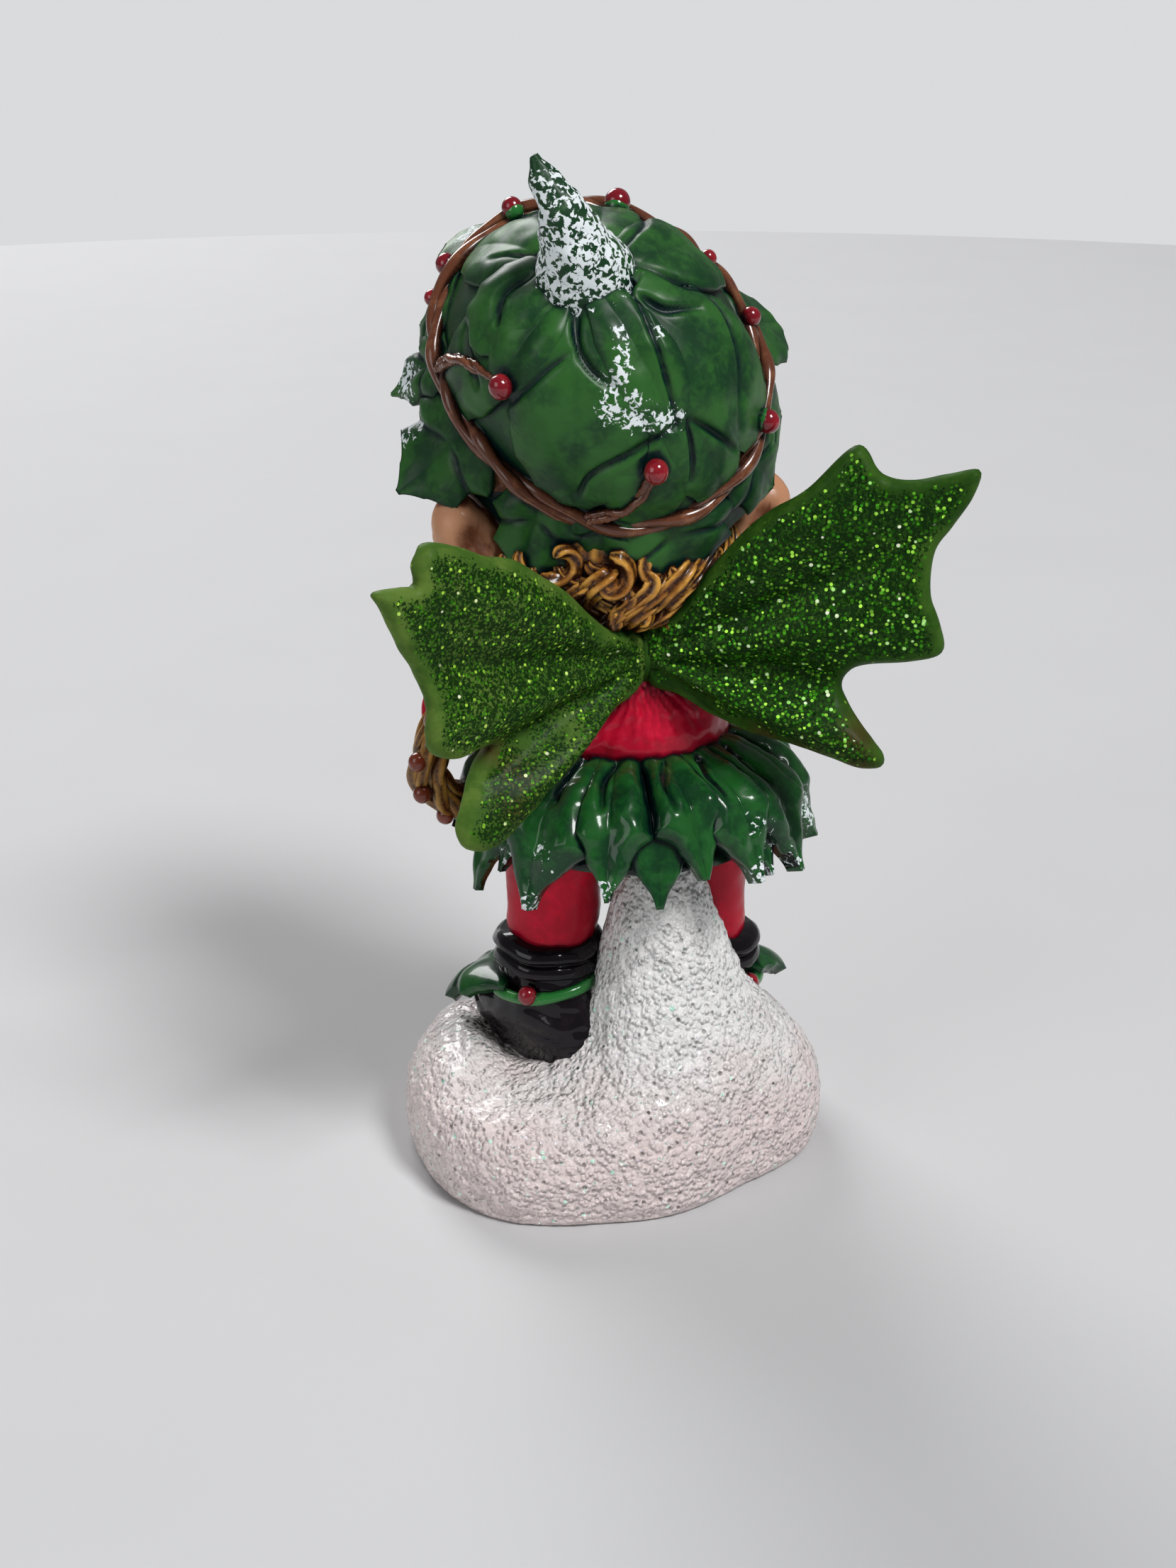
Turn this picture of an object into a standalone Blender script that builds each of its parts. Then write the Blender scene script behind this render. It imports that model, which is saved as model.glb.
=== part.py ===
"""Elf figurine with holly-leaf wings, cast in one piece and painted.

The elf stands on a mound of snow and faces -Y, so its back and its wings are
towards +Y and its own left hand is at +X.  The origin is the centre of the
flat underside of the snow.  Sizes are written in millimetres, and solid()
turns them into metres.  Every form is a closed solid of its own with its own
colour, and the last step unites them, because the real figure is one casting.
"""

import math

import bmesh
import bpy
import numpy as np
from mathutils import Vector
from mathutils.geometry import delaunay_2d_cdt

MM = 0.001

# Snow base
SNOW_CENTRE = (0.0, -1.0)
SNOW_RADII = (28.6, 30.0, 26.4, 25.2, 29.8, 29.5, 26.3, 25.2, 28.2)
SNOW_PLATEAU = 15.0
SNOW_BELLY = 6.0
SNOW_OVERHANG = 1.6
MOUND_AT = (-4.6, 7.6)
MOUND_RISE = 32.5
MOUND_SPREAD = 8.6
SHOULDER_AT = (-17.5, 9.5)
SHOULDER_RISE = 5.0
BANK_RISE = 3.2
FAR_BANK_RISE = 4.0
FAR_BANK_AT = (17.5, 7.0)

# Legs and boots
LEFT_LEG = (8.4, 1.2)
RIGHT_LEG = (-13.4, -1.0)
LEG_RADIUS = 6.6
LEG_TOP = 50.0
LEFT_BOOT_SOLE = 16.6
RIGHT_BOOT_SOLE = 13.2
ANKLE_HEIGHT = 13.4
CUFF_HEIGHT = 4.6
BOOT_TOE_IN = 0.6
BAND_TILT = 1.3

# Skirt of holly leaves
SKIRT_CENTRE = (-3.6, 0.2)
SKIRT_TOP = 62.0
WAIST_RADIUS = 11.8
SKIRT_REACH = 12.6
SKIRT_DROP = 17.0

# Leaves of the skirt: heading at the waist, heading at the tip, reach, half width, 1 if it lies on top
SKIRT_LEAVES = (
    (44, 41, 30.0, 7.4, 1), (62, 66, 28.2, 5.7, 1), (88, 96, 26.4, 5.3, 1), (109, 115, 27.8, 5.9, 1),
    (132, 134, 28.6, 5.9, 1), (152, 153, 27.4, 6.2, 1), (10, 13, 31.0, 6.2, 0), (26, 24, 28.0, 6.0, 0),
    (79, 82, 28.8, 6.4, 0), (122, 125, 28.0, 6.0, 0), (176, 174, 28.0, 6.4, 0),
    (-162, -160, 29.2, 6.6, 1), (-139, -142, 27.8, 6.2, 0), (-117, -115, 29.4, 6.6, 1),
    (-94, -96, 28.0, 6.2, 0), (-72, -70, 29.2, 6.6, 1), (-49, -51, 28.2, 6.2, 0),
    (-27, -24, 29.6, 6.6, 1), (-8, -7, 28.4, 5.6, 0),
)

# Jacket: height, middle across and along, half width, half depth
JACKET_LEVELS = (
    (50.0, -3.2, 0.4, 11.0, 10.0), (60.6, -3.2, 0.4, 12.2, 11.2), (63.0, -3.0, 0.5, 13.2, 12.4),
    (67.0, -2.6, 0.6, 13.4, 12.6), (71.5, -2.2, 0.4, 12.2, 11.4), (76.0, -1.8, 0.3, 11.6, 10.6),
    (81.0, -1.4, 0.2, 11.2, 9.8), (86.0, -0.8, 0.0, 8.6, 8.4), (92.0, 0.0, -0.6, 6.6, 6.6),
)

# Arms from shoulder to wrist, and the hands
LEFT_ARM = ((8.0, 0.6, 83.0), (15.0, 0.6, 77.0), (19.6, -0.4, 70.0), (20.0, -5.4, 66.2))
LEFT_HAND = (20.2, -8.2, 64.6)
RIGHT_ARM = ((-10.0, 0.4, 83.0), (-16.8, -1.0, 76.0), (-18.2, -5.6, 69.6), (-13.2, -11.6, 67.4))
RIGHT_HAND = (-9.6, -13.0, 67.0)
SLEEVE_RADII = (4.6, 5.2, 5.4, 5.4, 5.3, 5.1, 4.9, 4.9, 5.1)
HAND_RADII = (3.9, 3.9, 4.0)

# Head
HEAD_CENTRE = (0.6, -3.0, 108.6)
HEAD_SIZE = (22.6, 20.4, 21.2)
HEAD_TUCK = 0.2

# Hat: its own axis leans back and to the elf's left
HAT_CENTRE = (2.55, 3.3, 115.3)
HAT_TURN = math.radians(12.0)
HAT_LIFT = math.radians(34.0)
HAT_RADIUS = 20.2
HAT_DEPTH = 17.0
HAT_SLOPE = math.radians(72.0)
HAT_REACH = 27.0
STEM_TIP = (13.8, 15.0, 142.7)
CROWN_STEP = 0.34
TWIG_THICKNESS = 1.15
BERRY_RADIUS = 1.35

# Wings about their root: outlines as angle above level in degrees and reach, ribs as angle, width, rise
WING_ROOT = (-1.5, 10.6, 78.0)
WING_SWEEP = math.radians(27.0)
WING_THICKNESS = 3.0
WING_WEB = 1.0
WING_MESH = 4.4
WING_BORDER_STEP = 5.0
WING_EDGE_ROUND = 1.3
RIGHT_WING = (
    (97, 3.7), (63, 7.6), (56, 14.7), (54, 22.2), (52, 26.7), (49, 32.0), (48, 40.1),
    (41, 40.1), (37, 42.7), (35, 46.3), (33, 50.1), (30, 47.9), (27, 44.0), (24, 40.7),
    (17, 38.7), (10, 39.2), (5, 39.0), (3, 35.0), (2, 29.7), (0, 27.4), (-5, 26.3),
    (-10, 28.0), (-15, 31.8), (-18, 34.1), (-21, 34.2), (-24, 31.4), (-25, 28.1),
    (-28, 23.2), (-34, 17.9), (-40, 12.1), (-48, 7.0), (-80, 3.5),
)
RIGHT_RIBS = ((43, 14, 3.4), (14, 11, 2.8), (-18, 7.5, 4.6))
LEFT_WING = (
    (74, 3.5), (38, 8.9), (38, 12.6), (40, 18.5), (39, 23.5), (38, 28.9), (35, 33.6),
    (34, 37.6), (32, 42.0), (28, 42.6), (25, 41.5), (24, 43.1), (22, 46.7), (20, 45.1),
    (15, 41.6), (9, 37.8), (3, 36.3), (-2, 36.7), (-7, 36.1), (-11, 32.6), (-11.6, 29.3),
    (-13, 26.7), (-16, 29.2), (-19, 31.1), (-24, 35.6), (-26, 36.6), (-29, 36.7),
    (-33, 34.7), (-37, 31.1), (-40, 26.1), (-42, 21.4), (-47, 14.6), (-50, 8.6), (-80, 3.5),
)
LEFT_RIBS = ((28, 13, 3.4), (-2, 9, 2.8), (-29, 7.5, 4.6))

# Holly leaves: share of the length, share of the widest half
LONG_LEAF = (
    (0.0, 0.4), (0.17, 0.72), (0.36, 1.0), (0.52, 0.74), (0.7, 0.82), (0.86, 0.36), (1.0, 0.05),
)
ROUND_LEAF = ((0.0, 0.5), (0.25, 0.82), (0.5, 1.0), (0.75, 0.93), (0.92, 0.66), (1.0, 0.26))
SHORT_LEAF = ((0.0, 0.5), (0.3, 0.66), (0.62, 1.0), (0.8, 0.5), (1.0, 0.08))

# Held wreath
WREATH_CENTRE = (18.4, -5.6, 60.4)
WREATH_RADIUS = 7.8
WREATH_TUBE = 2.8

# Share of the facets that stay after the forms are united
FACET_SHARE = 0.56


def vec(values):
    """A numpy vector of floats."""
    return np.array(values, dtype=float)


def unit(vector):
    """The vector at length one."""
    vector = vec(vector)
    return vector / np.linalg.norm(vector)


def clear_scene():
    """Remove every object that is already in the scene."""
    for obj in list(bpy.data.objects):
        bpy.data.objects.remove(obj, do_unlink=True)


def paint(name, colour, roughness):
    """A painted finish of one colour."""
    material = bpy.data.materials.new(name)
    material.use_nodes = True
    shader = material.node_tree.nodes["Principled BSDF"]
    shader.inputs["Base Color"].default_value = (*colour, 1.0)
    shader.inputs["Roughness"].default_value = roughness
    shader.inputs["Metallic"].default_value = 0.0
    material.diffuse_color = (*colour, 1.0)
    return material


def solid(name, points, faces, material):
    """A closed, outward-facing, triangulated object from points in millimetres."""
    mesh = bpy.data.meshes.new(name)
    mesh.from_pydata([tuple(vec(p) * MM) for p in points], [], faces)
    shape = bmesh.new()
    shape.from_mesh(mesh)
    bmesh.ops.remove_doubles(shape, verts=shape.verts, dist=0.00001)
    bmesh.ops.triangulate(shape, faces=shape.faces)
    bmesh.ops.recalc_face_normals(shape, faces=shape.faces)
    shape.to_mesh(mesh)
    shape.free()
    mesh.shade_smooth()
    mesh.materials.append(material)
    obj = bpy.data.objects.new(name, mesh)
    bpy.context.scene.collection.objects.link(obj)
    return obj


def loft(name, rings, material, closed=False):
    """A skin over rings of equal count, capped at its ends unless it closes on itself."""
    rings = [np.asarray(ring, dtype=float) for ring in rings]
    count = len(rings[0])
    points = [point for ring in rings for point in ring]
    faces = []
    spans = len(rings) if closed else len(rings) - 1
    for row in range(spans):
        low = row * count
        high = ((row + 1) % len(rings)) * count
        for col in range(count):
            after = (col + 1) % count
            faces.append((low + col, low + after, high + after, high + col))
    if not closed:
        for row, flip in ((0, True), (len(rings) - 1, False)):
            hub = len(points)
            points.append(rings[row].mean(axis=0))
            for col in range(count):
                after = (col + 1) % count
                edge = (row * count + col, row * count + after)
                faces.append((*edge[::-1], hub) if flip else (*edge, hub))
    return solid(name, points, faces, material)


def oval(centre, half_x, half_y, sides, turn=0.0):
    """A level oval ring, its long axis turned by an angle."""
    angles = np.linspace(0.0, 2.0 * math.pi, sides, endpoint=False)
    across = half_x * np.cos(angles)
    along = half_y * np.sin(angles)
    ring = np.zeros((sides, 3))
    ring[:, 0] = centre[0] + across * math.cos(turn) - along * math.sin(turn)
    ring[:, 1] = centre[1] + across * math.sin(turn) + along * math.cos(turn)
    ring[:, 2] = centre[2]
    return ring


def ball(name, centre, radii, material, segments=8, rows=5):
    """An egg-shaped ball."""
    radii = vec(radii) if np.ndim(radii) else np.full(3, radii)
    rings = []
    for row in range(1, rows):
        polar = math.pi * row / rows
        height = centre[2] - radii[2] * math.cos(polar)
        wide = math.sin(polar)
        rings.append(oval((centre[0], centre[1], height), radii[0] * wide, radii[1] * wide, segments))
    points = [centre - np.array([0.0, 0.0, radii[2]]), centre + np.array([0.0, 0.0, radii[2]])]
    points.extend(point for ring in rings for point in ring)
    faces = []
    for col in range(segments):
        after = (col + 1) % segments
        faces.append((0, 2 + after, 2 + col))
        top = 2 + (rows - 2) * segments
        faces.append((1, top + col, top + after))
        for row in range(rows - 2):
            low = 2 + row * segments
            high = low + segments
            faces.append((low + col, low + after, high + after, high + col))
    return solid(name, points, faces, material)


def smooth_path(knots, count, closed=False):
    """Evenly numbered points on a smooth curve through the knots."""
    knots = vec(knots)
    total = len(knots)
    spans = total if closed else total - 1
    points = []
    for place in np.linspace(0.0, spans, count, endpoint=not closed):
        span = min(int(place), spans - 1)
        share = place - span
        picks = [span - 1, span, span + 1, span + 2]
        picks = [p % total if closed else min(max(p, 0), total - 1) for p in picks]
        a, b, c, d = (knots[p] for p in picks)
        points.append(
            b
            + 0.5 * share * (c - a)
            + share**2 * (a - 2.5 * b + 2.0 * c - 0.5 * d)
            + share**3 * (-0.5 * a + 1.5 * b - 1.5 * c + 0.5 * d)
        )
    return vec(points)


def tube(name, path, radii, material, sides=8, closed=False):
    """A round tube along a path; radii is one value or one for each point."""
    path = vec(path)
    radii = np.full(len(path), radii) if np.isscalar(radii) else vec(radii)
    if closed:
        heading = np.roll(path, -1, axis=0) - np.roll(path, 1, axis=0)
    else:
        heading = np.gradient(path, axis=0)
    side = unit(np.cross(heading[0], (0.12, 0.31, 0.94)))
    angles = np.linspace(0.0, 2.0 * math.pi, sides, endpoint=False)
    rings = []
    for point, way, radius in zip(path, heading, radii):
        way = unit(way)
        side = unit(side - way * side.dot(way))
        up = np.cross(way, side)
        rings.append([point + radius * (math.cos(a) * side + math.sin(a) * up) for a in angles])
    if closed:
        rings = match_start(rings)
    return loft(name, rings, material, closed)


def match_start(rings):
    """Turn a closed tube's rings step by step so that the last one meets the first."""
    first = rings[0][0]
    gaps = [np.linalg.norm(point - first) for point in rings[-1]]
    shift = int(np.argmin(gaps))
    count = len(rings[0])
    if shift > count // 2:
        shift -= count
    turned = []
    for number, ring in enumerate(rings):
        step = round(shift * number / (len(rings) - 1))
        turned.append([ring[(col + step) % count] for col in range(count)])
    return turned


def revolved(centre, axes, profile):
    """A mapping that lays a flat sheet, with its middle on the axis, over a turned form.

    profile(reach) gives radius and height; the mapping takes flat x, y and a
    height above the skin, and returns a point.
    """
    right, up, axis = (vec(a) for a in axes)
    centre = vec(centre)

    def place(x, y, lift):
        reach = math.hypot(x, y)
        angle = math.atan2(y, x)
        radius, height = profile(reach, angle)
        radius_on, height_on = profile(reach + 0.1, angle)
        slope = unit((radius_on - radius, height_on - height))
        radius -= lift * slope[1]
        height += lift * slope[0]
        outward = math.cos(angle) * right + math.sin(angle) * up
        return centre + radius * outward + height * axis

    return place


def leaf(
    name, place, root, tip, half_width, thickness, material,
    belly=1.2, sink=0.8, curl=0.0, cleft=0.65, outline=LONG_LEAF,
):
    """A puffed holly leaf laid over a turned form, from a root to a tip.

    root and tip are an angle in degrees and a reach on the form's flat map.
    belly is the rise of its two halves, cleft is the share of it by which the
    midrib lies lower, sink is how far its underside goes into the form, and curl
    lifts its tip.
    """
    ends = []
    for degrees, reach in (root, tip):
        angle = math.radians(degrees)
        ends.append(vec((reach * math.cos(angle), reach * math.sin(angle))))
    along = ends[1] - ends[0]
    across = unit((-along[1], along[0])) * half_width
    rings = []
    for share, width in outline:
        middle = ends[0] + along * share
        lift = curl * share**2
        puff = belly * math.sin(math.pi * min(0.15 + 0.8 * share, 1.0)) * width
        ring = []
        for side, rise in ((-1.0, 0.2), (-0.5, 1.0), (0.0, 1.0 - cleft), (0.5, 1.0), (1.0, 0.2)):
            spot = middle + across * width * side
            ring.append(place(spot[0], spot[1], lift + thickness * 0.5 + puff * rise))
        for side in (0.55, -0.55):
            spot = middle + across * width * side
            ring.append(place(spot[0], spot[1], lift - sink * (1.6 - 0.9 * share)))
        rings.append(ring)
    return loft(name, rings, material)


def hill(x, y, middle, width, depth):
    """A soft round rise: 1 at its middle and 0 far from it."""
    return math.exp(-(((x - middle[0]) / width) ** 2 + ((y - middle[1]) / depth) ** 2))


def around(values, angle):
    """A smooth closed curve through evenly spaced values, read at an angle."""
    total = len(values)
    place = (angle / (2.0 * math.pi) * total) % total
    first = int(place)
    share = (1.0 - math.cos(math.pi * (place - first))) / 2.0
    return values[first % total] * (1.0 - share) + values[(first + 1) % total] * share


def snow_height(x, y, roll):
    """Height of the snow at a place; roll is 1 on the plateau and 0 at the rim."""
    off_x = x - MOUND_AT[0]
    off_y = y - MOUND_AT[1]
    angle = math.atan2(off_y, off_x)
    spread = MOUND_SPREAD + 1.6 * max(0.0, math.cos(angle - 1.9))
    mound = MOUND_RISE / (1.0 + (math.hypot(off_x, off_y) / spread) ** 4)
    shoulder = SHOULDER_RISE * hill(x, y, SHOULDER_AT, 6.5, 5.0)
    lumps = 0.6 * math.sin(0.33 * x + 1.0) * math.cos(0.29 * y) + 0.4 * math.sin(0.21 * (x + y))
    bank = BANK_RISE / (1.0 + math.exp((x + 12.0) / 3.0))
    beside = 1.0 + math.exp((FAR_BANK_AT[0] - x) / 1.5)
    before = 1.0 + math.exp((y - FAR_BANK_AT[1]) / 2.0)
    far_bank = FAR_BANK_RISE / (beside * before)
    plateau = SNOW_PLATEAU - SNOW_BELLY + lumps + bank + far_bank
    return SNOW_BELLY + plateau * roll + (mound + shoulder) * min(1.0, roll * 1.5)


def snow_base(material):
    """The snow that the elf stands in: a plateau, a rounded rim and a mound at the heels."""
    spokes = 40
    shares = (0.1, 0.17, 0.24, 0.32, 0.42, 0.54, 0.68, 0.8, 0.89, 0.96, 1.0)
    points = [(*MOUND_AT, snow_height(*MOUND_AT, 1.0))]
    angles = [2.0 * math.pi * spoke / spokes for spoke in range(spokes)]

    def rim(angle, grow):
        reach = around(SNOW_RADII, angle) + grow
        return SNOW_CENTRE[0] + reach * math.cos(angle), SNOW_CENTRE[1] + reach * math.sin(angle)

    for share in shares:
        fall = max(0.0, (share - 0.5) / 0.5) ** 2.6
        roll = math.sqrt(max(0.0, 1.0 - fall))
        for angle in angles:
            edge = rim(angle, SNOW_OVERHANG)
            x = MOUND_AT[0] + (edge[0] - MOUND_AT[0]) * share
            y = MOUND_AT[1] + (edge[1] - MOUND_AT[1]) * share
            points.append((x, y, snow_height(x, y, roll)))
    for grow, height in ((SNOW_OVERHANG * 0.75, 2.6), (0.0, 0.0)):
        points.extend((*rim(angle, grow), height) for angle in angles)
    rows = len(shares) + 2
    faces = []
    for spoke in range(spokes):
        after = (spoke + 1) % spokes
        faces.append((0, 1 + spoke, 1 + after))
        for row in range(rows - 1):
            low = 1 + row * spokes
            high = low + spokes
            faces.append((low + spoke, high + spoke, high + after, low + after))
    faces.append(tuple(1 + (rows - 1) * spokes + spoke for spoke in reversed(range(spokes))))
    return [solid("snow_form", points, faces, material)]


def leg_and_boot(side, leg, sole, finishes):
    """One red legging in a black boot, with a folded cuff and a green ankle band."""
    turn = 0.36 * side
    ankle = sole + ANKLE_HEIGHT
    lean = (leg[0] + 1.3 * side, leg[1] + 0.6)
    legging = loft(
        f"legging_{side:+d}",
        [
            oval((leg[0], leg[1], LEG_TOP), LEG_RADIUS * 1.12, LEG_RADIUS * 1.08, 14),
            oval((leg[0] + 0.2 * side, leg[1], 42.0), LEG_RADIUS * 1.02, LEG_RADIUS, 14),
            oval((leg[0] + 0.5 * side, leg[1], ankle + 5.0), LEG_RADIUS * 0.97, LEG_RADIUS, 14),
            oval((lean[0], lean[1], ankle), LEG_RADIUS * 0.9, LEG_RADIUS * 0.9, 14),
        ],
        finishes["red"],
    )
    shape = (
        (-1.0, 5.2, 11.4, -3.2), (1.2, 6.5, 13.2, -3.4), (4.2, 7.2, 13.4, -3.2),
        (7.4, 7.2, 11.2, -2.0), (10.2, 7.0, 9.0, -1.0), (ANKLE_HEIGHT + 0.6, 6.8, 7.0, 0.0),
    )
    rings = []
    for rise, wide, long, forward in shape:
        middle = (
            lean[0] - BOOT_TOE_IN * side - forward * math.sin(turn),
            lean[1] + forward * math.cos(turn),
            sole + rise,
        )
        rings.append(oval(middle, wide, long, 18, turn))
    boot = loft(f"boot_{side:+d}", rings, finishes["black"])
    cuff_rings = []
    cuff_folds = (
        (0.0, 0.2), (0.8, 1.1), (2.0, 0.9), (2.6, 0.4), (3.4, 1.2), (4.4, 0.9), (CUFF_HEIGHT + 0.4, 0.2),
    )
    for rise, grow in cuff_folds:
        cuff_rings.append(oval((lean[0], lean[1], ankle + rise), LEG_RADIUS + grow, LEG_RADIUS + grow, 18))
    cuff = loft(f"cuff_{side:+d}", cuff_rings, finishes["black"])
    band_path = [
        (
            lean[0] + (LEG_RADIUS + 0.9) * math.cos(a),
            lean[1] + (LEG_RADIUS + 0.9) * math.sin(a),
            ankle - 1.9 - BAND_TILT * side * math.cos(a),
        )
        for a in np.linspace(0.0, 2.0 * math.pi, 20, endpoint=False)
    ]
    band = tube(f"ankle_band_{side:+d}", band_path, 0.95, finishes["band"], 6, closed=True)
    berry_at = vec((lean[0] + 4.6 * side, lean[1] + LEG_RADIUS, ankle - 1.8))
    berry = ball(f"ankle_berry_{side:+d}", berry_at, BERRY_RADIUS, finishes["berry"])
    sprig_map = revolved(
        (lean[0], lean[1], ankle - 2.6),
        ((1, 0, 0), (0, 1, 0), (0, 0, 1)),
        lambda reach, angle: (LEG_RADIUS - 0.6 + 0.86 * reach, 0.8 - 0.058 * reach**2),
    )
    heading = -22.0 if side > 0 else 202.0
    root = (heading + 14 * side, 0.8)
    tip = (heading - 26 * side, 12.8)
    sprig = leaf(f"boot_leaf_{side:+d}", sprig_map, root, tip, 4.8, 1.3, finishes["holly"])
    return [legging, boot, cuff, band, berry, sprig]


def skirt_profile(reach, _angle):
    """Bell of the skirt: out from the waist, then down, the same all round."""
    share = (reach - WAIST_RADIUS) / (SKIRT_REACH + 6.0)
    radius = WAIST_RADIUS + SKIRT_REACH * math.sin(min(max(share, -0.2), 1.3) * 1.2) / math.sin(1.2)
    return radius, -SKIRT_DROP * (0.45 * share + 0.55 * share**2)


def skirt(material):
    """Holly leaves hanging round the waist over a plain bell that carries them."""
    forms = []
    bell = []
    for share in (0.0, 0.25, 0.5, 0.72):
        radius, height = skirt_profile(WAIST_RADIUS + share * (SKIRT_REACH + 6.0), 0.0)
        bell.append(oval((*SKIRT_CENTRE, SKIRT_TOP + height - 0.6), radius - 0.6, radius - 0.9, 22))
    bell.append(oval((*SKIRT_CENTRE, SKIRT_TOP - 14.5), 14.5, 13.5, 22))
    forms.append(loft("skirt_bell", bell, material))
    place = revolved((*SKIRT_CENTRE, SKIRT_TOP), ((1, 0, 0), (0, 1, 0), (0, 0, 1)), skirt_profile)
    for number, (heading, tip_heading, reach, half_width, over) in enumerate(SKIRT_LEAVES):
        forms.append(
            leaf(
                f"skirt_leaf_{number:02d}",
                place,
                (heading, WAIST_RADIUS - 1.2),
                (tip_heading, reach),
                half_width,
                0.8 + 2.2 * over,
                material,
                belly=2.2 + 1.6 * over,
                sink=1.2,
                curl=0.3 + 0.9 * over,
                cleft=0.35,
                outline=SHORT_LEAF,
            )
        )
    return forms


def jacket(material):
    """The red jacket, with a roll above the waist and one at the wings."""
    rings = [oval((x, y, z), wide, deep, 20) for z, x, y, wide, deep in JACKET_LEVELS]
    return [loft("jacket_body", rings, material)]


def arms(finishes):
    """Red sleeves and plain mitten hands: the left holds the wreath, the right rests on the belt."""
    forms = []
    for side, route, hand in (("left", LEFT_ARM, LEFT_HAND), ("right", RIGHT_ARM, RIGHT_HAND)):
        path = smooth_path(route, len(SLEEVE_RADII))
        forms.append(tube(f"sleeve_{side}", path, SLEEVE_RADII, finishes["red"], 12))
        forms.append(ball(f"hand_{side}", vec(hand), HAND_RADII, finishes["flesh"], 12, 8))
    return forms


def face_swell(direction):
    """How far the face stands out of the plain head, in a direction from its middle."""
    bumps = (
        ((0.62, -0.66, -0.36), 0.34, 2.6), ((-0.62, -0.66, -0.36), 0.34, 2.6),
        ((0.0, -0.9, -0.18), 0.13, 2.7), ((0.0, -0.8, -0.62), 0.24, 1.5),
        ((0.34, -0.92, 0.08), 0.2, -0.9), ((-0.34, -0.92, 0.08), 0.2, -0.9),
    )
    swell = 0.0
    for middle, spread, height in bumps:
        gap = np.linalg.norm(direction - unit(middle))
        swell += height * math.exp(-((gap / spread) ** 2))
    return swell


def head(finishes):
    """A round doll-like head: full cheeks, a button nose, ears, eyes and a small smile."""
    columns = 30
    rows = 20
    rings = []
    for row in range(1, rows):
        polar = math.pi * row / rows
        ring = []
        for col in range(columns):
            angle = 2.0 * math.pi * col / columns + math.pi / 2.0
            level = math.sin(polar)
            way = vec((level * math.cos(angle), level * math.sin(angle), -math.cos(polar)))
            tuck = 1.0 - HEAD_TUCK * max(0.0, way[1]) ** 1.5
            ring.append(vec(HEAD_CENTRE) + way * (vec(HEAD_SIZE) * tuck + face_swell(way)))
        rings.append(ring)
    forms = [loft("head_form", rings, finishes["flesh"])]
    for side in (-1, 1):
        eye = vec(HEAD_CENTRE) + vec((7.6 * side, -18.9, 2.0))
        forms.append(ball(f"eye_{side:+d}", eye, (2.3, 1.5, 2.9), finishes["snow"], 10, 8))
        ear = (
            vec(HEAD_CENTRE) + vec((13.6 * side, 6.4, -19.4)),
            vec(HEAD_CENTRE) + vec((18.4 * side, 6.6, -16.6)),
            vec(HEAD_CENTRE) + vec((20.8 * side, 5.6, -12.8)),
            vec(HEAD_CENTRE) + vec((20.8 * side, 3.4, -9.4)),
        )
        ear_radii = (2.4, 3.8, 4.2, 4.0, 2.8, 0.8)
        forms.append(tube(f"ear_{side:+d}", smooth_path(ear, 6), ear_radii, finishes["flesh"], 8))
    mouth = []
    for share in (-1.0, -0.5, 0.0, 0.5, 1.0):
        bend = share**2
        mouth.append(vec(HEAD_CENTRE) + vec((3.6 * share, -19.7 + 0.7 * bend, -8.6 + 1.3 * bend)))
    forms.append(tube("mouth_line", mouth, (0.4, 0.7, 0.8, 0.7, 0.4), finishes["red"], 6))
    return forms


def hair(material):
    """Curls at the nape and at the temples."""
    forms = [ball("nape_hair", vec((1.6, 5.4, 92.4)), (15.4, 9.6, 10.8), material, 16, 10)]
    curls = (
        (10.5, 13.0, 92.5), (4.5, 15.2, 90.4), (-2.5, 14.6, 91.0), (-8.8, 12.2, 90.6),
        (7.6, 13.6, 86.6), (0.8, 14.0, 84.6), (-5.4, 13.0, 85.4), (14.2, 9.6, 92.0),
    )
    for number, spot in enumerate(curls):
        turn = 1 if number % 2 else -1
        path = []
        for step in range(9):
            angle = turn * (0.6 + step * 0.62) + number
            reach = 3.0 - 0.24 * step
            coil = vec((reach * math.cos(angle), 0.14 * step, reach * math.sin(angle)))
            path.append(vec(spot) + coil)
        forms.append(tube(f"curl_{number:02d}", path, np.linspace(1.5, 0.9, 9), material, 6))
    for number in range(9):
        turn = math.radians(-64.0 + 16.0 * number)
        sweep = math.radians(9.0) * (1 if number % 2 else -1)
        low = math.radians(33.0 - 44.0 * abs(math.sin(turn)) ** 3)
        path = []
        for step in range(6):
            share = step / 5.0
            rise = math.radians(54.0 - 22.0 * abs(math.sin(turn))) * (1.0 - share) + low * share
            path.append(on_head(turn + sweep * math.sin(3.4 * share), rise, 0.4 + 0.7 * share))
        forms.append(tube(f"fringe_{number:02d}", path, (2.6, 2.6, 2.3, 1.9, 1.4, 0.6), material, 6))
    return forms


def on_head(turn, rise, lift):
    """A place on the head: turn from straight ahead, rise above level, lift off the skin."""
    way = vec((math.sin(turn) * math.cos(rise), -math.cos(turn) * math.cos(rise), math.sin(rise)))
    return vec(HEAD_CENTRE) + way * (vec(HEAD_SIZE) + lift)


def hat_axes():
    """Right, up and outward axes of the hat, seen from behind along its own axis."""
    axis = vec((
        math.sin(HAT_TURN) * math.cos(HAT_LIFT),
        math.cos(HAT_TURN) * math.cos(HAT_LIFT),
        math.sin(HAT_LIFT),
    ))
    right = vec((math.cos(HAT_TURN), -math.sin(HAT_TURN), 0.0))
    return right, np.cross(right, axis), axis


def hat_swell(angle):
    """The hat's rim isn't round: it is wider up and to the left than across."""
    return (-0.42 * math.cos(2 * angle) + 1.84 * math.sin(2 * angle)) / HAT_RADIUS


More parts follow.
